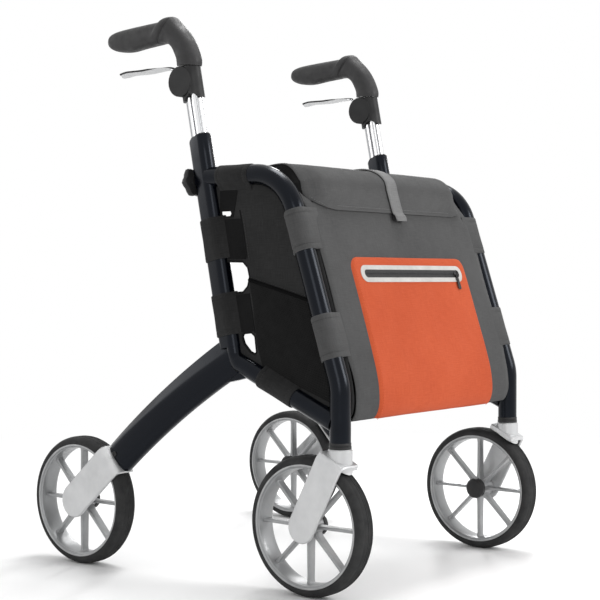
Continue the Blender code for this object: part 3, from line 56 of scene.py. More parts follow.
class Paint:
    """A node material that ends in one Principled shader."""

    def __init__(self, name, roughness=0.5, **constants):
        self.material = bpy.data.materials.new(name)
        self.material.use_nodes = True
        self.nodes = self.material.node_tree.nodes
        self.shader = self.nodes["Principled BSDF"]
        self.feed(self.shader, {"Roughness": roughness})
        self.feed(self.shader, {key.replace("_", " "): value for key, value in constants.items()})
        self.place = self.node("TexCoord").outputs["Object"]

    def feed(self, node, inputs):
        for key, value in inputs.items():
            socket = node.inputs[key]
            if isinstance(value, bpy.types.NodeSocket):
                self.material.node_tree.links.new(value, socket)
            elif isinstance(value, tuple) and socket.type == "RGBA":
                socket.default_value = (*value, 1.0)
            else:
                socket.default_value = value

    def node(self, kind, inputs=None, **settings):
        made = self.nodes.new("ShaderNode" + kind)
        for key, value in settings.items():
            setattr(made, key, value)
        self.feed(made, inputs or {})
        return made

    def sewn(self):
        """Patterns follow the cloth's own coordinates, in metres, from here on."""
        self.place = self.node("TexCoord").outputs["UV"]
        return self

    def stretched(self, x, y, z):
        return self.node("VectorMath", {0: self.place, 1: (x, y, z)}, operation="MULTIPLY").outputs[0]

    def noise(self, scale, detail, place=None, roughness=0.5):
        inputs = {"Vector": place or self.place, "Scale": scale, "Detail": detail, "Roughness": roughness}
        return self.node("TexNoise", inputs).outputs["Fac"]

    def bands(self, pitch, direction, distortion=0.0):
        """Ridges that repeat every pitch metres."""
        inputs = {"Vector": self.place, "Scale": 2 * pi / (20 * pitch), "Distortion": distortion}
        return self.node("TexWave", inputs, bands_direction=direction).outputs["Fac"]

    def cells(self, scale):
        return self.node("TexVoronoi", {"Vector": self.place, "Scale": scale}).outputs["Distance"]

    def calc(self, operation, first, second):
        return self.node("Math", {0: first, 1: second}, operation=operation).outputs[0]

    def spread(self, value, low, high, start=0.3, end=0.7):
        """A value stretched from the range start to end on to low to high."""
        inputs = {"Value": value, "From Min": start, "From Max": end, "To Min": low, "To Max": high}
        return self.node("MapRange", inputs).outputs["Result"]

    def blend(self, share, first, second):
        return self.node("Mix", {0: share, 6: first, 7: second}, data_type="RGBA").outputs[2]

    def colour(self, value):
        self.feed(self.shader, {"Base Color": value})

    def rough(self, value):
        self.feed(self.shader, {"Roughness": value})

    def bump(self, *layers):
        """Each layer is a height, its distance in metres and a strength."""
        inputs = {}
        for height, distance, strength in layers:
            inputs.update({"Height": height, "Distance": distance, "Strength": strength})
            inputs["Normal"] = self.node("Bump", inputs).outputs["Normal"]
        self.feed(self.shader, {"Normal": inputs["Normal"]})
        return self.material


def hard(name, mottle, tones, edge, rub, gloss, grain, flakes=None, **constants):
    """A paint, casting or moulding: mottled, paler where its edges are rubbed, and finely grained.

    mottle, gloss and grain start with the scale and detail of their noise. The rest of gloss is a range of
    roughness, and the rest of grain is the bump's distance and strength.
    """
    paint = Paint(name, **constants)
    shade = paint.blend(paint.noise(*mottle), *tones)
    if flakes:
        shade = paint.blend(paint.spread(paint.noise(2600, 1), 0.0, 0.30, 0.60, 0.75), shade, flakes)
    convex = paint.node("NewGeometry").outputs["Pointiness"]
    rubbed = paint.spread(convex, 0.0, rub, 0.51, 0.60)
    patchy = paint.calc("MULTIPLY", rubbed, paint.spread(paint.noise(60, 4), 0.0, 1.0))
    paint.colour(paint.blend(patchy, shade, edge))
    paint.rough(paint.spread(paint.noise(*gloss[:2]), *gloss[2:]))
    return paint.bump((paint.noise(*grain[:2]), *grain[2:]))


def metal(name, tones, scale=50, detail=4, stretch=(14, 14, 0.4), gloss=(0.09, 0.22), strength=0.05):
    """Bare metal with fine lines in one direction."""
    paint = Paint(name, Metallic=1.0)
    lines = paint.noise(scale, detail, paint.stretched(*stretch))
    paint.colour(paint.blend(lines, *tones))
    paint.rough(paint.spread(lines, *gloss))
    return paint.bump((lines, 0.0003, strength))


def rubber(name, dark, pale, scale, shine=0.16, matt=0.62):
    paint = Paint(name, IOR=1.5, Specular_IOR_Level=shine)
    dust = paint.spread(paint.noise(35, 5, roughness=0.65), 0.0, 1.0)
    paint.colour(paint.blend(dust, dark, pale))
    paint.rough(paint.spread(paint.noise(90, 4), matt, matt + 0.24))
    return paint.bump((paint.cells(scale), 0.0004, 0.35), (paint.noise(300, 3), 0.0003, 0.15))


def canvas(name, dark, pale, pitch=0.0011, sheen=0.05):
    """A plain weave of slightly mixed threads, with a little fuzz."""
    paint = Paint(name, Sheen_Weight=sheen, Sheen_Roughness=0.5, Specular_IOR_Level=0.08).sewn()
    weave = paint.calc("MAXIMUM", paint.bands(pitch, "X", 0.4), paint.bands(pitch, "Y", 0.4))
    threads = paint.calc("ADD", paint.noise(900, 2, paint.stretched(1, 0.06, 1)),
                         paint.noise(900, 2, paint.stretched(0.06, 1, 1)))
    mixed = paint.spread(threads, 0.0, 1.0, 0.75, 1.25)
    soft_tone = paint.spread(paint.noise(7, 4), 0.0, 1.0, 0.35, 0.65)
    tone = paint.calc("ADD", paint.calc("MULTIPLY", mixed, 0.45), paint.calc("MULTIPLY", soft_tone, 0.35))
    paint.colour(paint.blend(paint.calc("ADD", tone, paint.calc("MULTIPLY", weave, 0.2)), dark, pale))
    paint.rough(paint.spread(paint.noise(40, 3), 0.82, 0.96))
    creases = paint.noise(26, 4, paint.stretched(1, 0.55, 1))
    return paint.bump((weave, 0.0005, 0.30), (creases, 0.004, 0.22))


def yarn(name, tone):
    """Sewing thread."""
    paint = Paint(name, Sheen_Weight=0.08, Specular_IOR_Level=0.15)
    paint.colour(paint.blend(paint.noise(500, 2), *(tuple(k * c for c in tone) for k in (0.8, 1.2))))
    paint.rough(paint.spread(paint.noise(300, 2), 0.6, 0.85))
    return paint.bump((paint.noise(2500, 2), 0.0002, 0.4))


def net():
    """Black mesh cloth: rows of small round holes, painted near black, partly as the dark cloth behind them
    and partly as painted shade inside the pocket.
    """
    paint = Paint("black_net", Specular_IOR_Level=0.06, Sheen_Weight=0.03).sewn()
    holes = paint.calc("MULTIPLY", paint.bands(0.0030, "X"), paint.bands(0.0030, "Y"))
    open_share = paint.spread(holes, 0.0, 1.0, 0.35, 0.55)
    strands = paint.blend(paint.noise(400, 3), (0.007, 0.007, 0.007), (0.014, 0.014, 0.014))
    # The holes' near black is partly the cloth behind them and partly painted shade.
    paint.colour(paint.blend(open_share, strands, (0.002, 0.002, 0.002)))
    paint.rough(paint.spread(paint.noise(60, 3), 0.7, 0.95))
    closed_share = paint.calc("SUBTRACT", 1.0, open_share)
    return paint.bump((closed_share, 0.0008, 0.6), (paint.noise(20, 3), 0.004, 0.25))


MATERIALS = {
    "frame": hard("tube_paint", (9, 3), ((0.0005, 0.0008, 0.0018), (0.0011, 0.0015, 0.0032)),
                  edge=(0.012, 0.016, 0.024), rub=0.25, gloss=(45, 5, 0.17, 0.27),
                  grain=(420, 2, 0.0004, 0.07), flakes=(0.004, 0.006, 0.012), IOR=1.29,
                  Specular_Tint=(0.80, 0.87, 1.0)),
    "silver": hard("cast_silver", (18, 4), ((0.50, 0.505, 0.51), (0.60, 0.605, 0.61)),
                   edge=(0.74, 0.74, 0.74), rub=0.5, gloss=(160, 4, 0.34, 0.46), grain=(900, 3, 0.0003, 0.18),
                   Metallic=0.55, IOR=1.5),
    "rim": hard("rim_plastic", (24, 3), ((0.26, 0.264, 0.268), (0.35, 0.355, 0.36)),
                edge=(0.68, 0.68, 0.68), rub=0.7, gloss=(220, 4, 0.30, 0.46), grain=(1400, 2, 0.0002, 0.20),
                Metallic=0.45, IOR=1.5),
    "black": hard("black_plastic", (30, 3), ((0.014, 0.014, 0.0145), (0.023, 0.023, 0.0235)),
                  edge=(0.06, 0.06, 0.06), rub=0.4, gloss=(120, 4, 0.38, 0.58), grain=(1500, 2, 0.0003, 0.35),
                  IOR=1.5, Specular_IOR_Level=0.22),
    "chrome": metal("drawn_chrome", ((0.78, 0.79, 0.80), (0.90, 0.90, 0.91))),
    # Painted shade for the stem's groove, and a painted darker reflection for bands on its lobes.
    "groove": metal("stem_groove", ((0.07, 0.07, 0.075), (0.15, 0.15, 0.155))),
    "chrome_painted_dark_reflection": metal("chrome_painted_dark_reflection", ((0.20, 0.205, 0.21), (0.32, 0.325, 0.33))),
    "steel": metal("steel", ((0.36, 0.36, 0.37), (0.58, 0.58, 0.58)), 80, 5, (12, 1, 1), (0.22, 0.45), 0.12),
    "tyre": rubber("tyre_rubber", (0.020, 0.020, 0.021), (0.040, 0.040, 0.040), 900),
    "grip": rubber("grip_rubber", (0.022, 0.0215, 0.0225), (0.036, 0.0355, 0.036), 1300, 0.34, 0.40),
    "border": rubber("welded_border", (0.46, 0.45, 0.43), (0.58, 0.57, 0.55), 1500),
    "steel_dark": rubber("zip_teeth", (0.018, 0.020, 0.023), (0.045, 0.048, 0.052), 2500),
    "charcoal": canvas("charcoal_canvas", (0.013, 0.013, 0.0132), (0.033, 0.033, 0.0332)),
    "grey": canvas("grey_canvas", (0.054, 0.054, 0.0545), (0.090, 0.090, 0.090)),
    "orange": canvas("orange_canvas", (0.42, 0.064, 0.022), (0.55, 0.104, 0.042)),
    "webbing": canvas("grey_webbing", (0.13, 0.13, 0.13), (0.235, 0.235, 0.235), 0.0016),
    "lining": canvas("black_lining", (0.0040, 0.0040, 0.0042), (0.0100, 0.0100, 0.0102)),
    # Painted shadow: the near-black cord along the top of the side net pocket.
    "binding": canvas("black_painted_shadow_line", (0.0008, 0.0008, 0.0009), (0.0024, 0.0024, 0.0025), 0.0016, 0.0),
    "net": net(),
    "orange_thread": yarn("orange_thread", (0.66, 0.13, 0.05)),
    "grey_thread": yarn("grey_thread", (0.16, 0.16, 0.16)),
    "dark_thread": yarn("dark_thread", (0.05, 0.05, 0.05)),
}


# Shapes

def run(start, stop, count):
    """Values from start to stop in equal steps."""
    return [start + (stop - start) * k / count for k in range(count + 1)]


def arc(centre, radius, start, stop, count):
    return [(centre[0] + radius * cos(t), centre[1] + radius * sin(t)) for t in run(start, stop, count - 1)]


def circle(radius, count):
    return arc((0, 0), radius, 0, 2 * pi * (count - 1) / count, count)


def swell(value, power):
    """A power of the value that keeps its sign."""
    return (1 if value >= 0 else -1) * abs(value) ** power


def smooth(points, steps):
    """A curve through the points, each given as a tuple of any length."""
    rows = [points[0], *points, points[-1]]
    out = []
    for near in zip(rows, rows[1:], rows[2:], rows[3:]):
        for k in range(steps):
            t = k / steps
            out.append(tuple(0.5 * (2 * b + (c - a) * t + (2 * a - 5 * b + 4 * c - d) * t * t
                                    + (3 * b - a - 3 * c + d) * t ** 3) for a, b, c, d in zip(*near)))
    return out + [tuple(points[-1])]


def rounded(corners, radius, steps, closed=False):
    """The corners joined by straight lines, with arcs of one radius at the inner corners."""
    if closed:
        corners = [corners[-1], *corners, corners[0]]
    points = [] if closed else [Vector(corners[0])]
    for before, corner, after in zip(corners, corners[1:], corners[2:]):
        corner = Vector(corner)
        back, onward = Vector(before) - corner, Vector(after) - corner
        near = min(back.length, onward.length) / 2.05
        back.normalize()
        onward.normalize()
        half = back.angle(onward) / 2
        own = min(radius, near * sin(half) / cos(half))
        middle = (back + onward).normalized() * (own / sin(half))
        reach = own * cos(half) / sin(half)
        turn = pi - 2 * half
        for t in run(0, 1, steps):
            a, b = sin((1 - t) * turn) / sin(turn), sin(t * turn) / sin(turn)
            points.append(corner + middle + a * (back * reach - middle) + b * (onward * reach - middle))
    return points if closed else points + [Vector(corners[-1])]


def step(low, high, value):
    """Rises smoothly from 0 at low to 1 at high."""
    share = min(max((value - low) / (high - low), 0.0), 1.0)
    return share * share * (3 - 2 * share)


def lengths(row):
    """Distance of each point along a row, measured from the row's middle."""
    out = [0.0]
    for before, after in zip(row, row[1:]):
        out.append(out[-1] + (after - before).length)
    return [value - out[-1] / 2 for value in out]


def sideways(origin, side=1):
    """A frame whose own Z points along X, to the given side."""
    axes = (Y, Z, X) if side > 0 else (Z, Y, -X)
    return Matrix.Translation(origin) @ Matrix(axes).transposed().to_4x4()


def on_line(first, second, z):
    """The point at a height on the (y, z) line through two points."""
    return Vector(first).lerp(Vector(second), (z - first[1]) / (second[1] - first[1]))


def added(name, data):
    item = bpy.data.objects.new(name, data)
    bpy.context.scene.collection.objects.link(item)
    return item


class Path:
    """A (y, z) line read by the distance along it; lift moves to the right of its direction."""

    def __init__(self, points):
        self.points = [Vector(p) for p in points]
        self.reach = [0.0]
        for before, after in zip(self.points, self.points[1:]):
            self.reach.append(self.reach[-1] + (after - before).length)
        self.length = self.reach[-1]

    def at(self, s, lift=0.0, x=0.0):
        k = max(min(len([r for r in self.reach if r <= s]) - 1, len(self.points) - 2), 0)
        share = (s - self.reach[k]) / (self.reach[k + 1] - self.reach[k])
        point = self.points[k].lerp(self.points[k + 1], share)
        turn = (1 - share) * self.along(k) + share * self.along(k + 1)
        turn.normalize()
        return Vector((x, point.x + turn.y * lift, point.y - turn.x * lift))

    def along(self, k):
        near = self.points[max(k - 1, 0)], self.points[min(k + 1, len(self.points) - 1)]
        return (near[1] - near[0]).normalized()

    def down_to(self, z):
        """Distance at which the line first comes down to a height."""
        for start, before, after in zip(self.reach, self.points, self.points[1:]):
            if after.y <= z < before.y:
                return start + (before.y - z) / (before.y - after.y) * (after - before).length
        return 0.0


# Pitch, length and radius of the stitches in each kind of seam
PLAIN_SEAM, POCKET_SEAM, FINE_SEAM, TACK = mm(
    (4.2, 2.8, 0.35), (4.0, 2.7, 0.35), (3.6, 2.5, 0.3), (3.4, 2.4, 0.3))


class Shape:
    """Points and faces, gathered before they become one object. Each face keeps its cloth coordinates."""

    def __init__(self):
        self.points, self.faces, self.coords, self.inks = [], [], [], []

    def rows(self, rows, closed=False, ends=False, ink=0):
        """Faces between neighbouring rows of points."""
        base, wide = len(self.points), len(rows[0])
        for row in rows:
            self.points.extend(row)
        across = [lengths([*row, row[0]]) for row in rows]
        along = lengths([row[wide // 4] for row in rows])
        for i in range(len(rows) - 1):
            first, second = base + i * wide, base + (i + 1) * wide
            for j in range(wide if closed else wide - 1):
                k = (j + 1) % wide
                self.faces.append((first + j, first + k, second + k, second + j))
                self.coords.append(((across[i][j], along[i]), (across[i][j + 1], along[i]),
                                    (across[i + 1][j + 1], along[i + 1]), (across[i + 1][j], along[i + 1])))
                self.inks.append(ink)
        if ends:
            for start in (base, base + (len(rows) - 1) * wide):
                self.faces.append(tuple(range(start, start + wide)))
                self.coords.append(tuple((p.x, p.y + p.z) for p in self.points[start:start + wide]))
                self.inks.append(ink)
        return self

    def solid(self, rows, ink=0):
        """Closed rings of points, with a face at each end."""
        return self.rows(rows, closed=True, ends=True, ink=ink)

    def lathe(self, profile, place, count):
        """The (radius, height) profile turned round the place's own Z axis."""
        rows = [[place @ Vector((*p, height)) for p in circle(radius, count)] for radius, height in profile]
        return self.rows([*rows, rows[0]], closed=True)

    def wire(self, points, radius, sides=10, closed=False, ink=0):
        """A round cord of cloth or metal along 3-D points."""
        rows = []
        last = len(points) - 1
        for k, point in enumerate(points):
            before = points[k - 1] if closed or k else points[0]
            after = points[(k + 1) % len(points)] if closed or k < last else points[-1]
            ahead = (after - before).normalized()
            side = ahead.cross(X)
            if side.length < 0.2:
                side = ahead.cross(Y)
            side.normalize()
            up = ahead.cross(side)
            own = radius(k / last) if callable(radius) else radius
            rows.append([point + side * own * a + up * own * b for a, b in circle(1, sides)])
        if closed:
            rows.append(rows[0])
        return self.rows(rows, closed=True, ends=not closed, ink=ink)

    def stitches(self, points, seam):
        """Sewing thread: short dashes along 3-D points."""
        pitch, length, radius = seam
        reach = 0.0
        for before, after in zip(points, points[1:]):
            gap = (after - before).length
            while reach < gap:
                start = before.lerp(after, reach / gap)
                end = start + (after - before) * (length / gap)
                middle = (start + end) / 2
                self.wire([start, middle, end], lambda t: radius * (0.55 + 1.8 * t * (1 - t)), 5)
                reach += pitch
            reach -= gap

    def done(self, name, body, slots, replaces=(), angle=40):
        mesh = bpy.data.meshes.new(name)
        mesh.from_pydata(self.points, [], self.faces)
        layer = mesh.uv_layers.new(name="cloth")
        layer.data.foreach_set("uv", [value for coords in self.coords for pair in coords for value in pair])
        mesh.polygons.foreach_set("material_index", self.inks)
        for slot in slots:
            mesh.materials.append(MATERIALS[slot])
        work = bmesh.new()
        work.from_mesh(mesh)
        bmesh.ops.remove_doubles(work, verts=work.verts, dist=1e-7)
        bmesh.ops.recalc_face_normals(work, faces=work.faces)
        work.to_mesh(mesh)
        work.free()
        mesh.shade_smooth()
        mesh.set_sharp_from_angle(angle=radians(angle))
        item = added(name, mesh)
        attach(item, body)
        if replaces:
            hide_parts(*replaces)
        return item


def sections(path, x, outline):
    """Rings round a (y, z) path; outline(k, share) gives (across, out) pairs, out to the path's right."""
    rows = []
    last = len(path) - 1
    for k, point in enumerate(path):
        ahead = (Vector(path[min(k + 1, last)]) - Vector(path[max(k - 1, 0)])).normalized()
        out = Vector((0, ahead.y, -ahead.x))
        rows.append([Vector((x + a, *point)) + out * b for a, b in outline(k, k / last)])
    return rows


def flat_piece(name, body, outlines, x, thickness, slot, replaces=()):
    """A flat sheet with soft edges, cut from (y, z) outlines; the later ones are holes."""
    edge = 0.0005
    curve = bpy.data.curves.new(name, "CURVE")
    curve.dimensions = "2D"
    curve.fill_mode = "BOTH"
    curve.extrude = thickness / 2 - edge
    curve.bevel_depth = edge
    curve.offset = -edge
    curve.bevel_resolution = 2
    for outline in outlines:
        spline = curve.splines.new("POLY")
        spline.points.add(len(outline) - 1)
        spline.use_cyclic_u = True
        for point, (y, z) in zip(spline.points, outline):
            point.co = (y, z, 0, 1)
    draft = bpy.data.objects.new(name + "_draft", curve)
    mesh = bpy.data.meshes.new_from_object(draft)
    bpy.data.objects.remove(draft)
    shape = Shape()
    place = sideways((x, 0, 0))
    shape.points = [place @ v.co for v in mesh.vertices]
    for face in mesh.polygons:
        shape.faces.append(tuple(face.vertices))
        shape.coords.append(tuple(tuple(mesh.vertices[v].co.xy) for v in face.vertices))
        shape.inks.append(0)
    return shape.done(name, body, [slot], replaces)


# Frame tubes

FRAME_X = 0.231
TUBE_RADIUS, TUBE_BEND, TUBE_REAR, TUBE_END = 0.015, 0.077, -0.0212, 0.2166
LOWER_RADIUS, LOWER_ROOT_RADIUS = 0.0145, 0.0121
TOP_CORNER, KNEE = (-0.1665, 0.600), (-0.2645, 0.298)
LOWER_FRONT, LOWER_REAR = (-0.2560, 0.2488), (-0.0660, 0.3317)
POST_FOOT, POST_LEAN, POST_TOP = (-0.0627, 0.3470), 0.200, 0.6600
LOBE_HALF, POST_FRONT, POST_REAR = 0.0080, 0.0125, 0.0095
LEG_START, LEG_BEND = (-0.0620, 0.3310), 1.157
LEG_TILT, LEG_SWEEP = -33, 12.7
LEG_HALF, LEG_HEIGHT, LEG_TAPER = 0.0130, 0.0600, 0.0070
CROWN_REACH = 0.1073
REAR_HUB = Vector((0.2656, 0.2134, 0.100))
FRONT_HUB = Vector((0.231, -0.2134, 0.100))


def lobes(front, rear):
    """Two round lobes wrapped tightly, the rear one towards the right of a rising path."""
    lean = asin((front - rear) / (2 * LOBE_HALF))
    nose = arc((0, -LOBE_HALF), front, pi - lean, 2 * pi + lean, 23)
    tail = arc((0, LOBE_HALF), rear, lean, pi - lean, 20)
    return nose + tail


def post_line(z):
    return (POST_FOOT[0] + (z - POST_FOOT[1]) * POST_LEAN, z)


def front_tube(side, word):
    bend = rounded([(-0.035, TOP_CORNER[1]), TOP_CORNER, KNEE, (KNEE[0], TUBE_END)], TUBE_BEND, 14)
    path = [(TUBE_REAR, TOP_CORNER[1]), *bend]
    rows = sections(path, side * FRAME_X, lambda k, share: circle(TUBE_RADIUS, 36))
    Shape().solid(rows).done(word + "_painted_tube", word + "_frame", ["frame"], [word + "_front_tube"])
    ring = mm((14, 0.2), (15.2, 0.2), (15.5, 0.6), (15.5, 4), (15.2, 4.4), (14, 4.4))
    end = Matrix.Translation((side * FRAME_X, KNEE[0], TUBE_END))
    Shape().lathe(ring, end, 48).done(word + "_end_ring", word + "_frame", ["black"])


def lower_tube(side, word):
    """Rises from the front tube, and bends up into the front lobe of the post."""
    lobe = [Vector(post_line(z)) - Vector((LOBE_HALF, 0)) for z in (0.4000, 0.3281)]
    path = rounded([*lobe, LOWER_FRONT], 0.022, 12)
    rows = sections(path, side * FRAME_X, lambda k, share: circle(
        LOWER_ROOT_RADIUS + (LOWER_RADIUS - LOWER_ROOT_RADIUS) * step(0, len(path) - 2, k), 36))
    Shape().solid(rows).done(word + "_low_tube", word + "_frame", ["frame"], [word + "_lower_tube"])


def rear_post(side, word):
    """Two lobes, sloped above and cut off steeply behind, where a black lip guides the stem."""
    x = side * FRAME_X
    path = [post_line(z) for z in run(POST_FOOT[1], POST_TOP, 10)]
    up = Vector((0, POST_LEAN, 1)).normalized()
    slope, steep = radians(14), radians(45)
    knees = [Vector((x, *path[-1])) + Vector((0, cos(slope), -sin(slope))) * behind for behind in (0, 0.0070)]
    planes = [(knee, Vector((0, sin(angle), cos(angle)))) for knee, angle in zip(knees, (slope, steep))]

    def cut(grow, lift):
        ring = sections(path[-2:], x, lambda k, share: lobes(POST_FRONT + grow, POST_REAR + grow))[-1]
        return [p + up * (min((at - p).dot(way) / up.dot(way) for at, way in planes) + lift) for p in ring]

    rows = sections(path[:-1], x, lambda k, share: lobes(POST_FRONT, POST_REAR))
    shape = Shape().solid([*rows, cut(0.0, 0.0), cut(-0.0003, 0.0008), cut(-0.0012, 0.0012)])
    lip = cut(-0.0022, 0.0012)
    middle = sum(lip, Vector()) / len(lip)
    shape.solid([lip, [p + up * 0.0016 for p in lip],
                 [p.lerp(middle, 0.10) + up * 0.0024 for p in lip]], ink=1)
    shape.done(word + "_post", word + "_frame", ["frame", "black"], [word + "_rear_post"])


def leg_station(side, share):
    """Centre, upward direction and height of the leg's section."""
    first, angle = radians(LEG_TILT), radians(LEG_TILT - LEG_SWEEP * share)
    y = LEG_START[0] + LEG_BEND * (sin(first) - sin(angle))
    z = LEG_START[1] + LEG_BEND * (cos(angle) - cos(first))
    x = side * (FRAME_X + (REAR_HUB.x - FRAME_X) * share)
    return Vector((x, y, z)), Vector((0, -sin(angle), cos(angle))), LEG_HEIGHT - LEG_TAPER * share


def leg_ring(side, share, scale):
    """Full below, and slanted in above a ridge that climbs towards the fork."""
    centre, up, height = leg_station(side, share)
    ridge = 0.12 + 0.55 * share
    ring = []
    for a, b in circle(1, 72):
        full = (1 if a >= 0 else -1) * max(1 - abs(b) ** 2.6, 0.0) ** (1 / 2.6)
        crease = 0.05 * step(ridge + 0.10, ridge, b) * step(ridge - 0.16, ridge, b)
        slant = 1 - 0.80 * max(b - ridge, 0.0) / (1 - ridge) - crease
        half = LEG_HALF * (0.4 + 0.6 * scale) * max(min(full, slant), -slant)
        ring.append(centre + half * X + up * b * scale * height / 2)
    return ring


def rear_leg(side, word):
    """A long bowed leg with a rounded nose, cut square to the fork."""
    nose = ((-0.055, 0.50), (-0.053, 0.72), (-0.047, 0.88), (-0.036, 0.97), (-0.022, 1.0))
    rows = [leg_ring(side, share, scale) for share, scale in (*nose, *((t, 1.0) for t in run(0, 1, 25)))]
    end = leg_station(side, 1.0)[0]
    hub = Vector((end.x, REAR_HUB.y, REAR_HUB.z))
    away = (end - hub).normalized()
    crown = hub + away * CROWN_REACH
    kept = [ring for ring in rows if min((p - crown).dot(away) for p in ring) > 0.004]
    ahead = (kept[-1][0] - kept[-2][0]).normalized()
    for lift, shrink in ((0.0012, 0.0), (0.0, 0.05)):
        centre = sum(kept[-1], Vector()) / len(kept[-1])
        plane = crown + away * lift
        kept.append([p.lerp(centre, shrink) + ahead * ((plane - p).dot(away) / ahead.dot(away))
                     for p in kept[-1]])
    Shape().solid(kept).done(word + "_leg", word + "_frame", ["frame"], [word + "_rear_leg"], 50)
    hole = (end.x + side * 0.0125, 0.1335, 0.1786)
    screw = mm((0, 0.6), (2.8, 0.6), (3.4, 1), (4, 0.4), (4, -3), (0, -3))
    Shape().lathe(screw, sideways(hole, side), 24).done(word + "_leg_screw", word + "_frame", ["black"])
    web = rounded(mm((-48, 315), (-62, 295.5), (-98.5, 304), (-86, 318)), 0.003, 4, closed=True)
    flat_piece(word + "_joint_web", word + "_frame", [web], side * FRAME_X, 0.0110, "frame")


# Wheels

SPOKES, WHEEL_POINTS = 8, 144
BOSS_RADIUS, SPOKE_LENGTH = 0.0140, 0.0682
TREAD_RADIUS = 0.09995


def mirrored(profile):
    """A profile of one half of the wheel, and the same reversed for the other half."""
    return profile + [(radius, -height) for radius, height in reversed(profile)]


def spoke(turn):
    """A straight bar with rounded edges, flared into the boss and the rim."""
    rows = []
    rounding = 0.0011
    for share in (0.0, 0.03, 0.08, 0.16, 0.4, 0.7, 0.9, 0.96, 1.0):
        flare = 0.0016 * step(0.12, 0.0, share) + 0.0010 * step(0.92, 1.0, share)
        a = 0.0023 + flare - rounding
        b = 0.0076 - 0.0014 * share + 0.4 * flare - rounding
        outline = [p for n, corner in enumerate(((a, b), (-a, b), (-a, -b), (a, -b)))
                   for p in arc(corner, rounding, n * pi / 2, (n + 1) * pi / 2, 4)]
        rows.append([turn @ Vector((BOSS_RADIUS + SPOKE_LENGTH * share, *p)) for p in outline])
    return rows


def wheel(hub, side, word, body):
    place = sideways(hub, side)
    tread = mm((87.9, 17.2), (89, 17.6), (91.5, 17.8), (94.3, 17), (96.4, 15.2), (98.1, 12.7), (99.2, 10.2))
    for groove in (0.0085, 0.0058, 0.0031, 0.0):
        edge = TREAD_RADIUS - 30 * max(groove - 0.004, 0) ** 2
        tread += [(edge, groove + 0.0006), (edge - 0.0006, groove + 0.0003)]
    tyre = Shape().lathe(mirrored(tread), place, WHEEL_POINTS)
    tyre.done(word + "_treaded_tyre", body, ["tyre"], [word + "_tyre"], 35)

    ring = mm((88, 16.6), (87.9, 17.6), (87.2, 18), (85.8, 17.9), (85, 17.2), (84.6, 16),
              (84.1, 15.3), (82.8, 14.6), (82.1, 12), (81.5, 6))
    boss = mm((5.2, 19), (13.5, 19), (14.8, 17.8), (15, 10), (15, -10), (14.8, -14.5), (14, -15), (5.2, -15))
    shape = Shape().lathe(mirrored(ring), place, WHEEL_POINTS).lathe(boss, place, 48)
    for k in range(SPOKES):
        shape.solid(spoke(place @ Matrix.Rotation(2 * pi * k / SPOKES, 4, "Z")))
    shape.done(word + "_spoked_rim", body, ["rim"], [word + "_rim"], 42)


# Handles

def stem(side, word):
    """Two bright lobes with a narrow groove between them; the groove's faces carry painted shade, and bands
    on the lobes a painted darker reflection.
    """
    front = [radians(t) for t in run(-240, 60, 60)]
    rear = [radians(t) for t in run(-60, 240, 45)]
    groove = mm((3.6, 0.4), (3.2, 1.4), (3.2, 2.6))
    outline = [(0.0085 * cos(t), 0.0085 * sin(t) - LOBE_HALF) for t in front] + groove
    outline += [(0.0055 * cos(t), 0.0055 * sin(t) + LOBE_HALF) for t in rear]
    outline += [(-a, b) for a, b in reversed(groove)]
    # Ink 2 paints a darker reflection in bands on each lobe; ink 1 paints shade on the groove's faces.
    inks = [2 if abs(abs(t + pi / 2) - radians(52)) < radians(9) else 0 for t in front[:-1]] + [1] * 4
    inks += [2 if abs(abs(t - pi / 2) - radians(78)) < radians(16) else 0 for t in rear[:-1]] + [1] * 4
    path = [post_line(z) for z in run(0.4400, 0.7350, 12)]
    rows = sections(path, side * FRAME_X, lambda k, share: outline)
    shape = Shape()
    for j, ink in enumerate(inks):
        shape.rows([[row[j], row[(j + 1) % len(outline)]] for row in rows], ink=ink)
    for row in (rows[0], rows[-1]):
        middle = sum(row, Vector()) / len(row)
        shape.rows([row, [p.lerp(middle, 0.98) for p in row]], closed=True)
    shape.done(word + "_drawn_stem", word + "_handle", ["chrome", "groove", "chrome_painted_dark_reflection"],
               [word + "_handle_stem"], 60)


# Each station of the grip: y and z above, y and z below, and half its width
GRIP = mm(
    (-0.8, 768.6, 39.2, 770.3, 15.2), (-1.4, 774.6, 39.6, 776, 15.9), (-0.2, 781.3, 40.5, 781.3, 16),
    (4.8, 794, 44, 789, 16.3), (12.4, 808, 49.6, 798.5, 16.7), (23.6, 822.5, 57, 804.7, 17.2),
    (34.5, 833, 65, 807.4, 17.6), (40.5, 838.8, 70.5, 807.7, 17.8), (45.2, 843.8, 74.5, 807.4, 17.4),
    (48.2, 845.8, 76.8, 807.2, 16.6), (51.2, 846.8, 79, 807, 18.8), (60, 847, 84.6, 806.6, 19),
    (65.5, 845.8, 88.8, 806.3, 18.5), (69, 842.8, 93, 806, 17.7), (76, 841.6, 99.5, 805.4, 17.1),
    (105, 840.3, 112, 804.4, 16.8), (140, 838.5, 140, 801.8, 16.8), (166, 836.2, 164, 804.2, 16.1),
    (180, 832.2, 177, 808, 13.8), (186.4, 825.5, 185, 812.8, 8), (188.2, 820.5, 187.8, 816.5, 2.8),
)


def grip(side, word):
    rows = []
    for upper_y, upper_z, lower_y, lower_z, half in smooth(GRIP, 6):
        upper = Vector((side * FRAME_X, upper_y, upper_z))
        lower = Vector((side * FRAME_X, lower_y, lower_z))
        centre, rise = (upper + lower) / 2, (upper - lower) / 2
        rows.append([centre + half * swell(a, 0.85) * X + rise * swell(b, 0.85) for a, b in circle(1, 40)])
    Shape().solid(rows).done(word + "_rubber_grip", word + "_handle", ["grip"], [word + "_grip"], 60)


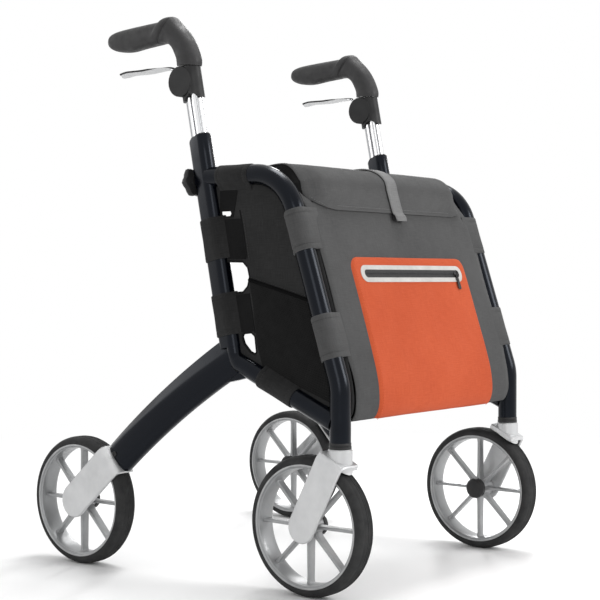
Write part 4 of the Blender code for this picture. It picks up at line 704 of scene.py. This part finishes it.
def plate(high, low, inset):
    """Outlines of one layer of the lever: narrow at the hub, wide and dished along the paddle."""
    across = (-1, -0.97, -0.8, -0.5, -0.2, 0.2, 0.5, 0.8, 0.97, 1)

    def outline(k, share):
        half = 0.0042 + 0.0094 * step(0.10, 0.30, share) - 0.0022 * step(0.6, 1.0, share)
        half = half * (1 - 0.55 * step(0.93, 1.0, share)) - inset
        dish = 0.0014 * step(0.2, 0.4, share)
        edge = [0.003 * max(abs(a) - 0.8, 0) for a in across]
        above = [(half * a, high - e - dish * a * a) for a, e in zip(across, edge)]
        below = [(half * a, low + e - dish * a * a) for a, e in zip(across, edge)]
        return above + below[::-1]
    return outline


def lever(side, word):
    """A hub on the pin, a bent bright arm, and a thin paddle, black above and bright below."""
    x = side * FRAME_X
    hub = mm((3.4, 4.8), (8.2, 5), (9, 4.2), (9, -4.2), (8.2, -5), (3.4, -4.8))
    shape = Shape().lathe(hub, sideways((x, 0.0280, 0.7455)), 32)
    line = smooth(mm((34, 753), (40, 759.5), (48, 765.5), (56, 767.8), (73, 768.2), (90, 767.1), (106, 766.2),
                     (123, 766.4), (139, 766.7), (150, 765.6), (158.5, 763.8)), 5)
    shape.solid(sections(line, x, plate(0.0013, -0.0004, 0.0003)))
    shape.solid(sections(line[14:], x, plate(-0.0002, -0.0029, -0.0006)), ink=1)
    shape.done(word + "_lever_paddle", word + "_lever", ["silver", "black"], [word + "_brake_lever"], 45)


# Bag

SLEEVE = 0.0162
SHELL_HALF = 0.2142
CLOTH = 0.0026
FACE_OUT, FACE_SLOPE = 0.014614, 0.3245
POCKET_HALF, POCKET_FLARE, POCKET_CORNER = 0.1540, 0.0040, 0.020
LID_HALF, LID_FRONT_HALF, LID_CORNER = 0.205, 0.158, (0.049, 0.040)
STRAP_HALF, STRAP_SEAM, STRAP_THICKNESS = 0.0140, 0.0115, 0.0018


def ripple(*place):
    """Smooth unevenness, between -1 and 1."""
    return noise.noise(Vector(place))


def face_y(z):
    """Depth of the bag's front on its straight slope."""
    return TOP_CORNER[0] - FACE_OUT - (TOP_CORNER[1] - z) * FACE_SLOPE


# The front from its top edge down, the floor, and the back up to the lid's hinge
FACE = Path(smooth(
    [(face_y(z), z) for z in (0.588, 0.540, 0.490, 0.440, 0.390, 0.340)]
    + mm((-275.2, 305), (-278.5, 280), (-277.2, 264), (-271.5, 252), (-260, 247.8),
         (-225, 258), (-170, 276), (-133, 288.5), (-122.5, 300))
    + [(-0.11963 + (z - 0.31685) * 0.13347, z) for z in (0.330, 0.400, 0.480, 0.560, 0.598)], 6))
# The lid from its hinge over the top and down the front
CREST = Path(smooth(
    mm((-85, 603), (-94, 609), (-106, 612.5), (-130, 615.2), (-154, 614.5), (-172, 608.5), (-185, 597))
    + [(face_y(z) - 0.0024, z - 0.0008) for z in (0.582, 0.566, 0.5495)], 6))
FLOOR_FROM = FACE.down_to(0.2500)


def belly(s, x):
    """How far the cloth stands out: it fills, sags below, and tucks in beside the tubes' bend."""
    share = abs(x) / SHELL_HALF
    full = 0.0020 * sin(pi * min(s / FLOOR_FROM, 1)) ** 2 * (1 - share ** 4)
    under = step(FLOOR_FROM, FLOOR_FROM + 0.05, s) * step(FLOOR_FROM + 0.16, FLOOR_FROM + 0.11, s)
    sag = 0.0060 * under * (1 - share ** 2)
    uneven = 0.0007 * ripple(x * 9, s * 7, 1.7) + 0.0004 * ripple(x * 24, s * 15, 4.1)
    tuck = 0.0185 * step(0.803, 0.957, share) * step(0.058, -0.008, s)
    return full + sag + uneven * step(0.0, 0.03, s) - tuck


def on_face(s, x, lift=0.0):
    return FACE.at(s, belly(s, x) + lift, x)


def lid_half(s):
    """Half the lid's width: straight sides, then corners that round off in a quarter of an ellipse."""
    wide, long = LID_CORNER
    past = max(1 - (CREST.length - s) / long, 0.0)
    return min(LID_HALF, LID_FRONT_HALF + wide * sqrt(max(1 - past ** 2, 0.0)))


def on_lid(s, x, lift=0.0):
    share = abs(x) / LID_HALF
    uneven = 0.0006 * ripple(x * 11, s * 16, 8.3) + 0.0004 * ripple(x * 30, s * 25, 2.9)
    tuck = step(0.84, 1.0, share) * (0.0145 * step(0.055, 0.104, s) - 0.0105 * step(0.132, 0.160, s))
    return CREST.at(s, 0.0012 - tuck + uneven * step(0.0, 0.02, s) + lift, x)


def slab(stations, surface, thickness, across):
    """Rings round a band of cloth. A station is (s, half width); surface(s, x, lift) is a point."""
    edge = thickness / 2
    rows = []
    for s, half in stations:
        line = run(0.6 * edge - half, half - 0.6 * edge, across)
        rows.append([surface(s, x, 0) for x in line] + [surface(s, half, -edge)]
                    + [surface(s, x, -thickness) for x in reversed(line)] + [surface(s, -half, -edge)])
    return rows


def soft(item):
    """Gives a piece of the bag a mesh of its own."""
    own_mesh(item)
    return item


def cut_out(s):
    """How far the front's edge is cut back between the sleeves, where the tubes lie bare."""
    cut = 0.004 * step(FLOOR_FROM - 0.030, FLOOR_FROM, s)
    for high, low, deep in ((0.484, 0.400, 0.0010), (0.334, 0.256, 0.0032)):
        t = (s - FACE.down_to(high)) / (FACE.down_to(low) - FACE.down_to(high))
        cut += deep * sin(pi * min(max(t, 0.0), 1.0)) ** 0.7
    return cut


def bag_edges():
    """The hem of the front's top edge, the turned-in side edges, and the gussets up to the lid."""
    shape = Shape()
    shape.wire([on_face(0.0, x, -CLOTH / 2) for x in run(-SHELL_HALF, SHELL_HALF, 50)], 0.0020, ink=1)
    for side, _ in SIDES:
        shape.rows([[on_face(s, side * (SHELL_HALF - 0.0008), -lift) for s in run(0, 0.7 * FACE.length, 63)]
                    for lift in (0.0030, 0.012, 0.030)])
        upper = [on_lid(s, side * min(lid_half(s), 0.2040), -0.0012) for s in run(0, 0.92 * CREST.length, 32)]
        edge = side * (SHELL_HALF - 0.0006)
        lower = [Vector((edge, top.y + 0.010, min(0.582, top.z - 0.006))) for top in upper]
        shape.rows([[low.lerp(high, t) + side * 0.003 * sin(pi * t) * X for low, high in zip(lower, upper)]
                    for t in run(0, 1, 6)], ink=1)
    return soft(shape.done("bag_edges", "right_frame", ["grey", "lining"], (), 60))


def bag_body():
    front = [(s, SHELL_HALF - cut_out(s)) for s in run(0, FLOOR_FROM, 60)]
    rest = [(s, SHELL_HALF - 0.004 * step(FLOOR_FROM + 0.05, FLOOR_FROM, s))
            for s in run(FLOOR_FROM, FACE.length, 50)]
    shape = Shape().solid(slab(front, on_face, CLOTH, 40)).solid(slab(rest, on_face, CLOTH, 40), ink=1)
    item = soft(shape.done("bag_body", "right_frame", ["grey", "lining"], ["bag_shell"], 60))
    bag_edges()


def front_pocket():
    """The flat pocket, with its edge sewn down and rounded upper corners."""
    top, low = FACE.down_to(0.480), FLOOR_FROM + 0.002
    starts = [POCKET_CORNER * (1 - cos(t)) for t in run(0, pi / 2, 12)]
    stations = [(top + d, POCKET_CORNER - sqrt(max(POCKET_CORNER ** 2 - (POCKET_CORNER - d) ** 2, 0.0)))
                for d in starts]
    stations += [(s, 0.0) for s in run(top + POCKET_CORNER, low, 70)[1:]]
    rows = []
    for s, inset in stations:
        half = POCKET_HALF + POCKET_FLARE * (s - top) / (low - top) - inset
        row = []
        for t in run(-1, 1, 60):
            x = half * swell(t, 0.75)
            inside = min(half - abs(x), s - top, (low - s) * 2)
            rise = 0.0036 * sqrt(min(max(inside / 0.0035, 0), 1))
            crease = 0.0007 * step(0.0055, 0.0048, inside) * step(0.0035, 0.0045, inside)
            row.append(on_face(s, x, rise - crease - 0.0006))
        rows.append(row)
    item = soft(Shape().rows(rows).done("front_pocket", "right_frame", ["orange"], ["pocket_panel"], 60))
    thread = Shape()
    edge = zip(run(top + POCKET_CORNER, low, 60), run(POCKET_HALF, POCKET_HALF + POCKET_FLARE, 60))
    left = [on_face(s, 0.0070 - half, 0.0032) for s, half in edge]
    thread.stitches(left, POCKET_SEAM)
    thread.stitches([Vector((-p.x, p.y, p.z)) for p in left], POCKET_SEAM)
    sewing = soft(thread.done("pocket_stitching", "right_frame", ["orange_thread"]))
    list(zip_line())


def zip_line():
    """The pale welded border, the dark zip in its slot, and the puller at the right."""
    middle = FACE.down_to(0.4545)

    def band(half_long, half_high, base, top):
        """A long flat ring of cloth or plastic with round ends, closed in above."""
        core = half_long - half_high
        outline = [p for centre, start in ((core, -pi / 2), (-core, pi / 2))
                   for p in arc((centre, 0), half_high, start, start + pi, 17)]
        levels = ((1, base), (1, top - 0.0003), (1 - 0.0004 / half_high, top), (0.4, top), (0.02, top))
        rows = []
        for share, lift in levels:
            rows.append([])
            for a, b in outline:
                centre = max(min(a, core), -core)
                rows[-1].append(on_face(middle - b * share, centre + (a - centre) * share, 0.0030 + lift))
        return Shape().rows(rows, closed=True)

    border = band(0.1375, 0.0132, -0.0020, 0.0009)
    slot = band(0.1290, 0.0062, -0.0004, 0.0012)
    for k, x in enumerate(run(-0.1240, 0.1240, 110)[:104]):
        point = on_face(middle, x, 0.0044)
        up = Vector((0, 0.30, 0.95)) * (0.0011 if k % 2 else -0.0011)
        slot.wire([point - up * 0.6, point, point + up], 0.00055, 5, ink=1)
    slot.wire([on_face(middle, x, 0.0041) for x in run(-0.1255, 0.1165, 40)], 0.0008, 6)

    slider = Shape()
    x = 0.1175
    slider.solid([[on_face(middle - b, x + a * 1.7, lift) for a, b in circle(radius, 20)]
                  for lift, radius in mm((4.2, 3.6), (6.2, 3.6), (7.4, 2.4))])
    bow = [on_face(middle - 0.0030 + 0.0088 * t, x, 0.0074 + 0.0022 * sin(pi * t)) for t in run(0, 1, 4)]
    slider.wire(bow, 0.0009, 8)
    pull = []
    for t in run(0, 1, 8):
        half = 0.0026 + 0.0012 * step(0.25, 0.875, t) - 0.0010 * step(0.875, 1, t)
        ring = ((-half, 0.0006), (-half * 0.7, 0.0011), (half * 0.7, 0.0011),
                (half, 0.0006), (half, -0.0004), (-half, -0.0004))
        pull.append([on_face(middle + 0.0030 + 0.0230 * t, x + 0.0012 * t + a, 0.0062 - 0.0012 * t + b)
                     for a, b in ring])
    slider.solid(pull)
    return [soft(border.done("zip_border", "right_frame", ["border"], (), 30)),
            soft(slot.done("zip_slot", "right_frame", ["black", "steel_dark"], (), 30)),
            soft(slider.done("zip_puller", "right_frame", ["black"], (), 45))]


def lid():
    stations = [(s, lid_half(s)) for s in run(0, CREST.length, 64)]
    shape = Shape().solid(slab(stations, on_lid, CLOTH, 44))
    item = soft(shape.done("lid_cloth", "lid_flap", ["grey"], ["lid"], 60))
    thread = Shape()
    for side, _ in SIDES:
        thread.stitches([on_lid(s, side * (half - 0.006), 0.0002) for s, half in stations[4:62]], PLAIN_SEAM)
    thread.stitches([on_lid(CREST.length - 0.006, x, 0.0002) for x in run(-0.150, 0.150, 60)], PLAIN_SEAM)
    sewing = soft(thread.done("lid_stitching", "lid_flap", ["grey_thread"]))


def strap():
    """A flat band over the lid, sewn down on the crest and across its end."""
    past = Path([CREST.at(s, 0.0028).yz for s in run(0.20 * CREST.length, CREST.length, 30)]
                + [(face_y(z) - 0.0088, z) for z in (0.5440, 0.5370)])

    def on_strap(s, x, lift=0.0):
        return past.at(s, 0.0016 + 0.0004 * ripple(x * 30, s * 40, 5.5) + lift, x)

    end = past.length
    stations = [(s, STRAP_HALF - 0.0030 * step(0.004, 0.0, s) - 0.0010 * step(end - 0.003, end, s))
                for s in run(0, end, 70)]
    shape = Shape().solid(slab(stations, on_strap, STRAP_THICKNESS, 10))
    item = soft(shape.done("lid_webbing", "lid_flap", ["webbing"], ["lid_strap"], 60))
    thread = Shape()
    for side, _ in SIDES:
        edge = run(0, end, 60)[1:60]
        thread.stitches([on_strap(s, side * STRAP_SEAM, 0.0001) for s in edge], FINE_SEAM)
    tacks = [((s, STRAP_SEAM), (s, -STRAP_SEAM)) for s in (0.006, 0.016, end - 0.006)]
    tacks.append(((0.006, -STRAP_SEAM), (0.016, STRAP_SEAM)))
    for (s1, x1), (s2, x2) in tacks:
        thread.stitches([on_strap(s, x, 0.0001) for s, x in zip(run(s1, s2, 10), run(x1, x2, 10))], TACK)
    sewing = soft(thread.done("strap_stitching", "lid_flap", ["grey_thread"]))


def strap_catch():
    """The catch behind the strap's end, with softened edges."""
    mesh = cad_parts["strap_clip"].data.copy()
    if "custom_normal" in mesh.attributes:
        mesh.attributes.remove(mesh.attributes["custom_normal"])
    work = bmesh.new()
    work.from_mesh(mesh)
    bmesh.ops.remove_doubles(work, verts=work.verts, dist=1e-6)
    bmesh.ops.dissolve_limit(work, angle_limit=radians(2), verts=work.verts, edges=work.edges)
    bmesh.ops.bevel(work, geom=work.edges[:], offset=0.0005, segments=2, affect="EDGES")
    work.to_mesh(mesh)
    work.free()
    mesh.materials.clear()
    mesh.materials.append(MATERIALS["black"])
    item = added("strap_catch", mesh)
    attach(item, "lid_flap")
    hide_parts("strap_clip")
    soft(item)


# Bag sides

HOLES = (
    mm((-45, 547.8), (-64.8, 547.8), (-66.4, 544.2), (-64, 540.8), (-45, 540.4)),
    mm((-45, 475), (-88, 474), (-97.5, 465), (-101, 451), (-97.5, 437), (-88, 428), (-55, 426)),
    mm((-84, 368.5), (-103.6, 370.8), (-111.2, 365.2), (-114.9, 336.2), (-101.6, 341.6), (-90.1, 353)),
)
TAPES = (
    mm((-44, 590), (-80, 590), (-75.2, 560), (-70, 538.5), (-44, 538.5)),
    mm((-47.5, 536.5), (-86, 536.5), (-90.5, 508), (-94, 477), (-59.5, 477)),
    mm((-70.5, 424.5), (-100, 427), (-105.5, 396), (-108.5, 372), (-80.5, 369.5)),
)
CLOTH_SEAMS = (mm((-82.3, 548.6), (-86.8, 529), (-90.5, 510), (-96, 478)),
               mm((-100, 427), (-106, 396), (-111, 370)))
# Distances from a sleeve's end at which its hem is shaped
HEM_MARKS = (0, 0.0006, 0.0014, 0.0066, 0.0075, 0.0080, 0.0092, 0.02)
HEM_STITCHES = 0.0078


def inside_area(outline):
    around = zip(outline, [*outline[1:], outline[0]])
    return abs(sum(a[0] * b[1] - b[0] * a[1] for a, b in around)) / 2


def hem(t, length):
    """Scale of a sleeve along its length: folded hems at both ends, drawn in between."""
    d = min(t, 1 - t) * length
    crease = 0.030 * step(0.0066, 0.0076, d) * step(0.0092, 0.0080, d)
    return 1 - 0.05 * step(0.0012, 0.0, d) - crease - 0.02 * step(0.008, 0.03, d)


def drop(radius, tail):
    """A sleeve's section: round the tube, drawn together into a flat seam away from out."""
    return [(0.0016, -tail), *arc((0, 0), radius, radians(-58), radians(238), 22), (-0.0016, -tail)]


def post_section():
    """The post's lobes grown by the sleeve, open towards the bag."""
    front, rear = POST_FRONT + 0.0019, POST_REAR + 0.0019
    return [(0.0016, -0.0285), *arc((0, -LOBE_HALF), front, radians(-44), radians(10), 7),
            *arc((0, LOBE_HALF), rear, radians(11), radians(169), 15),
            *arc((0, -LOBE_HALF), front, radians(170), radians(224), 7), (-0.0016, -0.0285)]


def sleeve(shape, thread, side, ends, outline, radius, shift=0.0):
    """One sleeve along a straight (y, z) line, and the stitches of its hems, shift out from its axis."""
    start, end = map(Vector, ends)
    length = (end - start).length
    shares = sorted({0.5, *(d / length for d in HEM_MARKS), *(1 - d / length for d in HEM_MARKS)})
    path = [start.lerp(end, t) for t in shares]
    rows = []
    for t, row, centre in zip(shares, sections(path, side * FRAME_X, lambda k, share: outline), path):
        scale = hem(t, length)
        middle = Vector((side * FRAME_X, *centre))
        rows.append([middle + (p - middle) * (scale if (p - middle).length < 0.021 else 1)
                     * (1 + 0.006 * ripple(*(p * 60))) for p in row])
    shape.solid(rows)
    ahead = (end - start).normalized()
    out = Vector((0, ahead.y, -ahead.x))
    sweep = (0, 180) if shift else (-45, 225)
    for point in (start + ahead * HEM_STITCHES, end - ahead * HEM_STITCHES):
        middle = Vector((side * FRAME_X, *point)) + out * shift
        turn = arc((0, 0), radius - 0.0002, *map(radians, sweep), 40)
        thread.stitches([middle + a * X + out * b for a, b in turn], FINE_SEAM)


def side_sleeves(side, word, thread):
    """Grey sleeves on the sloping tube, and dark ones on the top tube, the lower tube and the post."""
    body = word + "_frame"
    tab = mm((-6, 16.1), (-13, 15.5), (-20, 14.6), (-34, 13.2), (-34, 11.8), (-20, 12.6))
    outline = [(0.0016, -0.0205), *arc((0, 0), SLEEVE, radians(-60), radians(90), 16), *tab,
               *arc((0, 0), SLEEVE, radians(132), radians(240), 10), (-0.0016, -0.0205)]
    outline = [(side * a, b) for a, b in outline]
    grey, dark = Shape(), Shape()
    for heights in ((0.5460, 0.4870), (0.3970, 0.3360)):
        sleeve(grey, thread, side, [on_line(TOP_CORNER, KNEE, z) for z in heights], outline, SLEEVE)
    sleeve(dark, thread, side, mm((-44, 600), (-106, 600)), drop(SLEEVE, 0.0225), SLEEVE)
    low_radius = LOWER_RADIUS + 0.0020
    low_ends = [on_line(LOWER_REAR, LOWER_FRONT, z) for z in (0.2790, 0.3060)]
    sleeve(dark, thread, side, low_ends, drop(low_radius, 0.0205), low_radius)
    for heights in ((0.4750, 0.5370), (0.3640, 0.4250)):
        sleeve(dark, thread, side, map(post_line, heights), post_section(), POST_REAR + 0.0020, LOBE_HALF)
    return [grey.done(word + "_front_sleeves", body, ["grey"], (), 50),
            dark.done(word + "_dark_sleeves", body, ["charcoal"], (), 50)]


def side_cloth(side, word):
    """The cloth between the tubes, with its holes, tapes, sleeves, bound edges and seams, and a cord painted
    black as the shadow along the net pocket's top.
    """
    x = side * FRAME_X
    face = x + side * 0.0018
    body = word + "_frame"
    tubes = rounded([(-0.020, TOP_CORNER[1]), TOP_CORNER, KNEE, (KNEE[0], 0.2630)], TUBE_BEND, 12)
    border = tubes + [Vector(LOWER_REAR), Vector(post_line(0.350)), Vector(post_line(0.600))]
    small = rounded(HOLES[0], 0.0014, 4, closed=True)
    large = [rounded(hole, 0.006, 5, closed=True) for hole in HOLES[1:]]
    cloth = flat_piece(word + "_side_cloth", body, [border, small, *large], x, 0.0030, "charcoal",
                       [word + "_side_panel"])
    tapes = [flat_piece("%s_side_tape_%d" % (word, n), body, [patch, small] if n == 0 else [patch],
                        x + side * 0.0019, 0.0012, "lining") for n, patch in enumerate(TAPES)]
    thread = Shape()
    sleeves = side_sleeves(side, word, thread)

    trim = Shape()
    for ring in large:
        trim.wire([Vector((x, *p)) for p in ring], 0.0021, closed=True)
    # Along the net pocket's top, a cord painted near black as its shadow.
    across = smooth(mm((-101, 447), (-150, 434.5), (-204, 420), (-220, 416)), 6)
    trim.wire([Vector((face + side * 0.0012, *p)) for p in across], 0.0025, 12, ink=1)
    for line in CLOTH_SEAMS:
        trim.wire([Vector((face - side * 0.0004, *p)) for p in smooth(line, 6)], 0.0012, 8)
        thread.stitches([Vector((face, y - 0.004, z)) for y, z in smooth(line, 6)], PLAIN_SEAM)
    binding = trim.done(word + "_side_binding", body, ["lining", "binding"], (), 60)
    above = smooth(mm((-104, 450.7), (-216, 421.5)), 8)
    thread.stitches([Vector((face, *p)) for p in above], PLAIN_SEAM)
    sewing = thread.done(word + "_side_stitching", body, ["dark_thread"])
    inside_area(border) - sum(map(inside_area, (small, *large)))
    net_pocket(side, word, face)


def net_pocket(side, word, face):
    """A slack net over the lower part of the side, hemmed above."""
    rear = smooth(mm((-101.5, 445), (-107, 415), (-111.5, 385), (-116.5, 352), (-126, 322)), 8)
    front = smooth(mm((-212, 417), (-224, 380), (-233, 352), (-244, 318), (-248, 276)), 8)
    rows = []
    for a, b, v in zip(rear, front, run(0, 1, len(rear) - 1)):
        row = []
        for u in run(0, 1, 28):
            rise = 0.0045 * (sin(pi * u) ** 0.6) * (0.35 + 0.65 * sin(pi * min(v * 1.1, 1))) + 0.0006
            rise += 0.0006 * ripple(u * 5, v * 4, 3.3)
            row.append(Vector((face + side * rise, *Vector(a).lerp(Vector(b), u))))
        rows.append(row)
    item = Shape().rows(rows).done(word + "_net_pocket", word + "_frame", ["net"], (), 60)
    outline = [*rear, *reversed(front)]
    1.02 * inside_area(outline)


# CAD nodes that stay as they are

def smoothing():
    """Joins the imported faces and shades them smoothly, while the mesh itself stays as it is."""
    tree = bpy.data.node_groups.new("smoothing", "GeometryNodeTree")
    for way in ("INPUT", "OUTPUT"):
        tree.interface.new_socket("Geometry", in_out=way, socket_type="NodeSocketGeometry")
    entry, plain, weld, every, angle, sharp, edges, leave = map(tree.nodes.new, (
        "NodeGroupInput", "GeometryNodeRemoveAttribute", "GeometryNodeMergeByDistance",
        "GeometryNodeSetShadeSmooth", "GeometryNodeInputMeshEdgeAngle", "FunctionNodeCompare",
        "GeometryNodeSetShadeSmooth", "NodeGroupOutput"))
    plain.inputs["Name"].default_value = "custom_normal"
    weld.inputs["Distance"].default_value = 1e-6
    sharp.inputs[1].default_value = radians(34)
    edges.domain = "EDGE"
    edges.inputs["Shade Smooth"].default_value = False
    for before, after in zip((entry, plain, weld, every, edges), (plain, weld, every, edges, leave)):
        tree.links.new(before.outputs[0], after.inputs[0])
    tree.links.new(angle.outputs["Unsigned Angle"], sharp.inputs[0])
    tree.links.new(sharp.outputs[0], edges.inputs["Selection"])
    return tree


def dress_cad():
    """Gives each CAD node the detailed material of its slot, and smooth shading."""
    tree = smoothing()
    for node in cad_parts.values():
        slot = node.material_slots[0]
        slot.material = MATERIALS[slot.material.name.split(".")[0]]
        node.modifiers.new("smoothing", "NODES").node_group = tree


# Stage

def aim(item, place, ahead):
    """Stands a camera or lamp at a place, facing ahead."""
    turn = Vector(ahead).to_track_quat("-Z", "Y")
    item.matrix_world = Matrix.Translation(place) @ turn.to_matrix().to_4x4()


def place_camera():
    data = bpy.data.cameras.new("camera")
    data.sensor_width = 36.0
    data.lens = 83.24
    camera = added("camera", data)
    aim(camera, (-1.7749, -1.4106, 0.4486), (0.7852, 0.6191, -0.0154))
    bpy.context.scene.camera = camera


def lamp(name, place, target, width, height, watts):
    data = bpy.data.lights.new(name, "AREA")
    data.shape = "RECTANGLE"
    data.size = width
    data.size_y = height
    data.energy = watts
    aim(added(name, data), place, Vector(target) - Vector(place))


def white_room():
    """A white background, half as bright for the light that falls on the object as for what is seen."""
    world = bpy.data.worlds.new("studio")
    bpy.context.scene.world = world
    world.use_nodes = True
    nodes, links = world.node_tree.nodes, world.node_tree.links
    path, rays, seen, strength = (nodes.new("ShaderNode" + kind)
                                  for kind in ("LightPath", "CombineXYZ", "VectorMath", "MapRange"))
    for kind, socket in zip(("Is Camera Ray", "Is Glossy Ray", "Is Transmission Ray"), rays.inputs):
        links.new(path.outputs[kind], socket)
    seen.operation = "LENGTH"
    links.new(rays.outputs[0], seen.inputs[0])
    strength.inputs["To Min"].default_value = 0.50
    strength.inputs["To Max"].default_value = 1.0
    links.new(seen.outputs["Value"], strength.inputs["Value"])
    links.new(strength.outputs["Result"], nodes["Background"].inputs["Strength"])
    nodes["Background"].inputs["Color"].default_value = (1, 1, 1, 1)


def pale_floor():
    """A floor that takes shadows near the object and fades into the white room further out."""
    reach = 40.0
    mesh = bpy.data.meshes.new("floor")
    corners = [(a * reach, b * reach, 0) for a, b in ((-1, -1), (1, -1), (1, 1), (-1, 1))]
    mesh.from_pydata(corners, [], [(0, 1, 2, 3)])
    paint = Paint("pale_floor", 0.6, Specular_IOR_Level=0.1)
    paint.colour((0.93, 0.93, 0.93))
    away = paint.node("VectorMath", {0: paint.place}, operation="LENGTH").outputs["Value"]
    white = paint.node("Emission", {"Color": (1, 1, 1)}).outputs[0]
    path = paint.node("LightPath")
    eye = paint.calc("MAXIMUM", path.outputs["Is Camera Ray"], path.outputs["Is Glossy Ray"])
    share = paint.calc("MULTIPLY", eye, paint.spread(away, 0.0, 1.0, 0.7, 1.8))
    mixed = paint.node("MixShader", {0: share, 1: paint.shader.outputs[0], 2: white}).outputs[0]
    paint.feed(paint.nodes["Material Output"], {"Surface": mixed})
    mesh.materials.append(paint.material)
    added("floor", mesh)


def set_stage():
    lamp("key", (0.9, -2.4, 1.5), (0, 0, 0.35), 1.1, 1.3, 38)
    lamp("top", (0.5, 0.1, 2.7), (0, 0, 0.3), 0.8, 1.5, 38)
    lamp("rear", (-0.98, 2.14, 1.17), (-0.24, 0.05, 0.26), 1.2, 1.2, 5)
    lamp("fill", (-2.3, -1.5, 1.1), (0, 0, 0.4), 0.9, 1.4, 11)
    lamp("strip", (1.7, 0.95, 1.35), (-0.2, -0.1, 0.5), 0.22, 1.7, 16)
    white_room()
    pale_floor()
    bpy.context.scene.view_settings.view_transform = "Standard"


place_camera()
set_stage()
dress_cad()
bag_body()
front_pocket()
lid()
strap()
strap_catch()
for side, word in SIDES:
    for make in (front_tube, lower_tube, rear_post, rear_leg, stem, grip, lever, side_cloth):
        make(side, word)
    for hub, end in ((FRONT_HUB, "_front"), (REAR_HUB, "_rear")):
        wheel(Vector((side * hub.x, *hub.yz)), side, word + end, word + end + "_wheel")
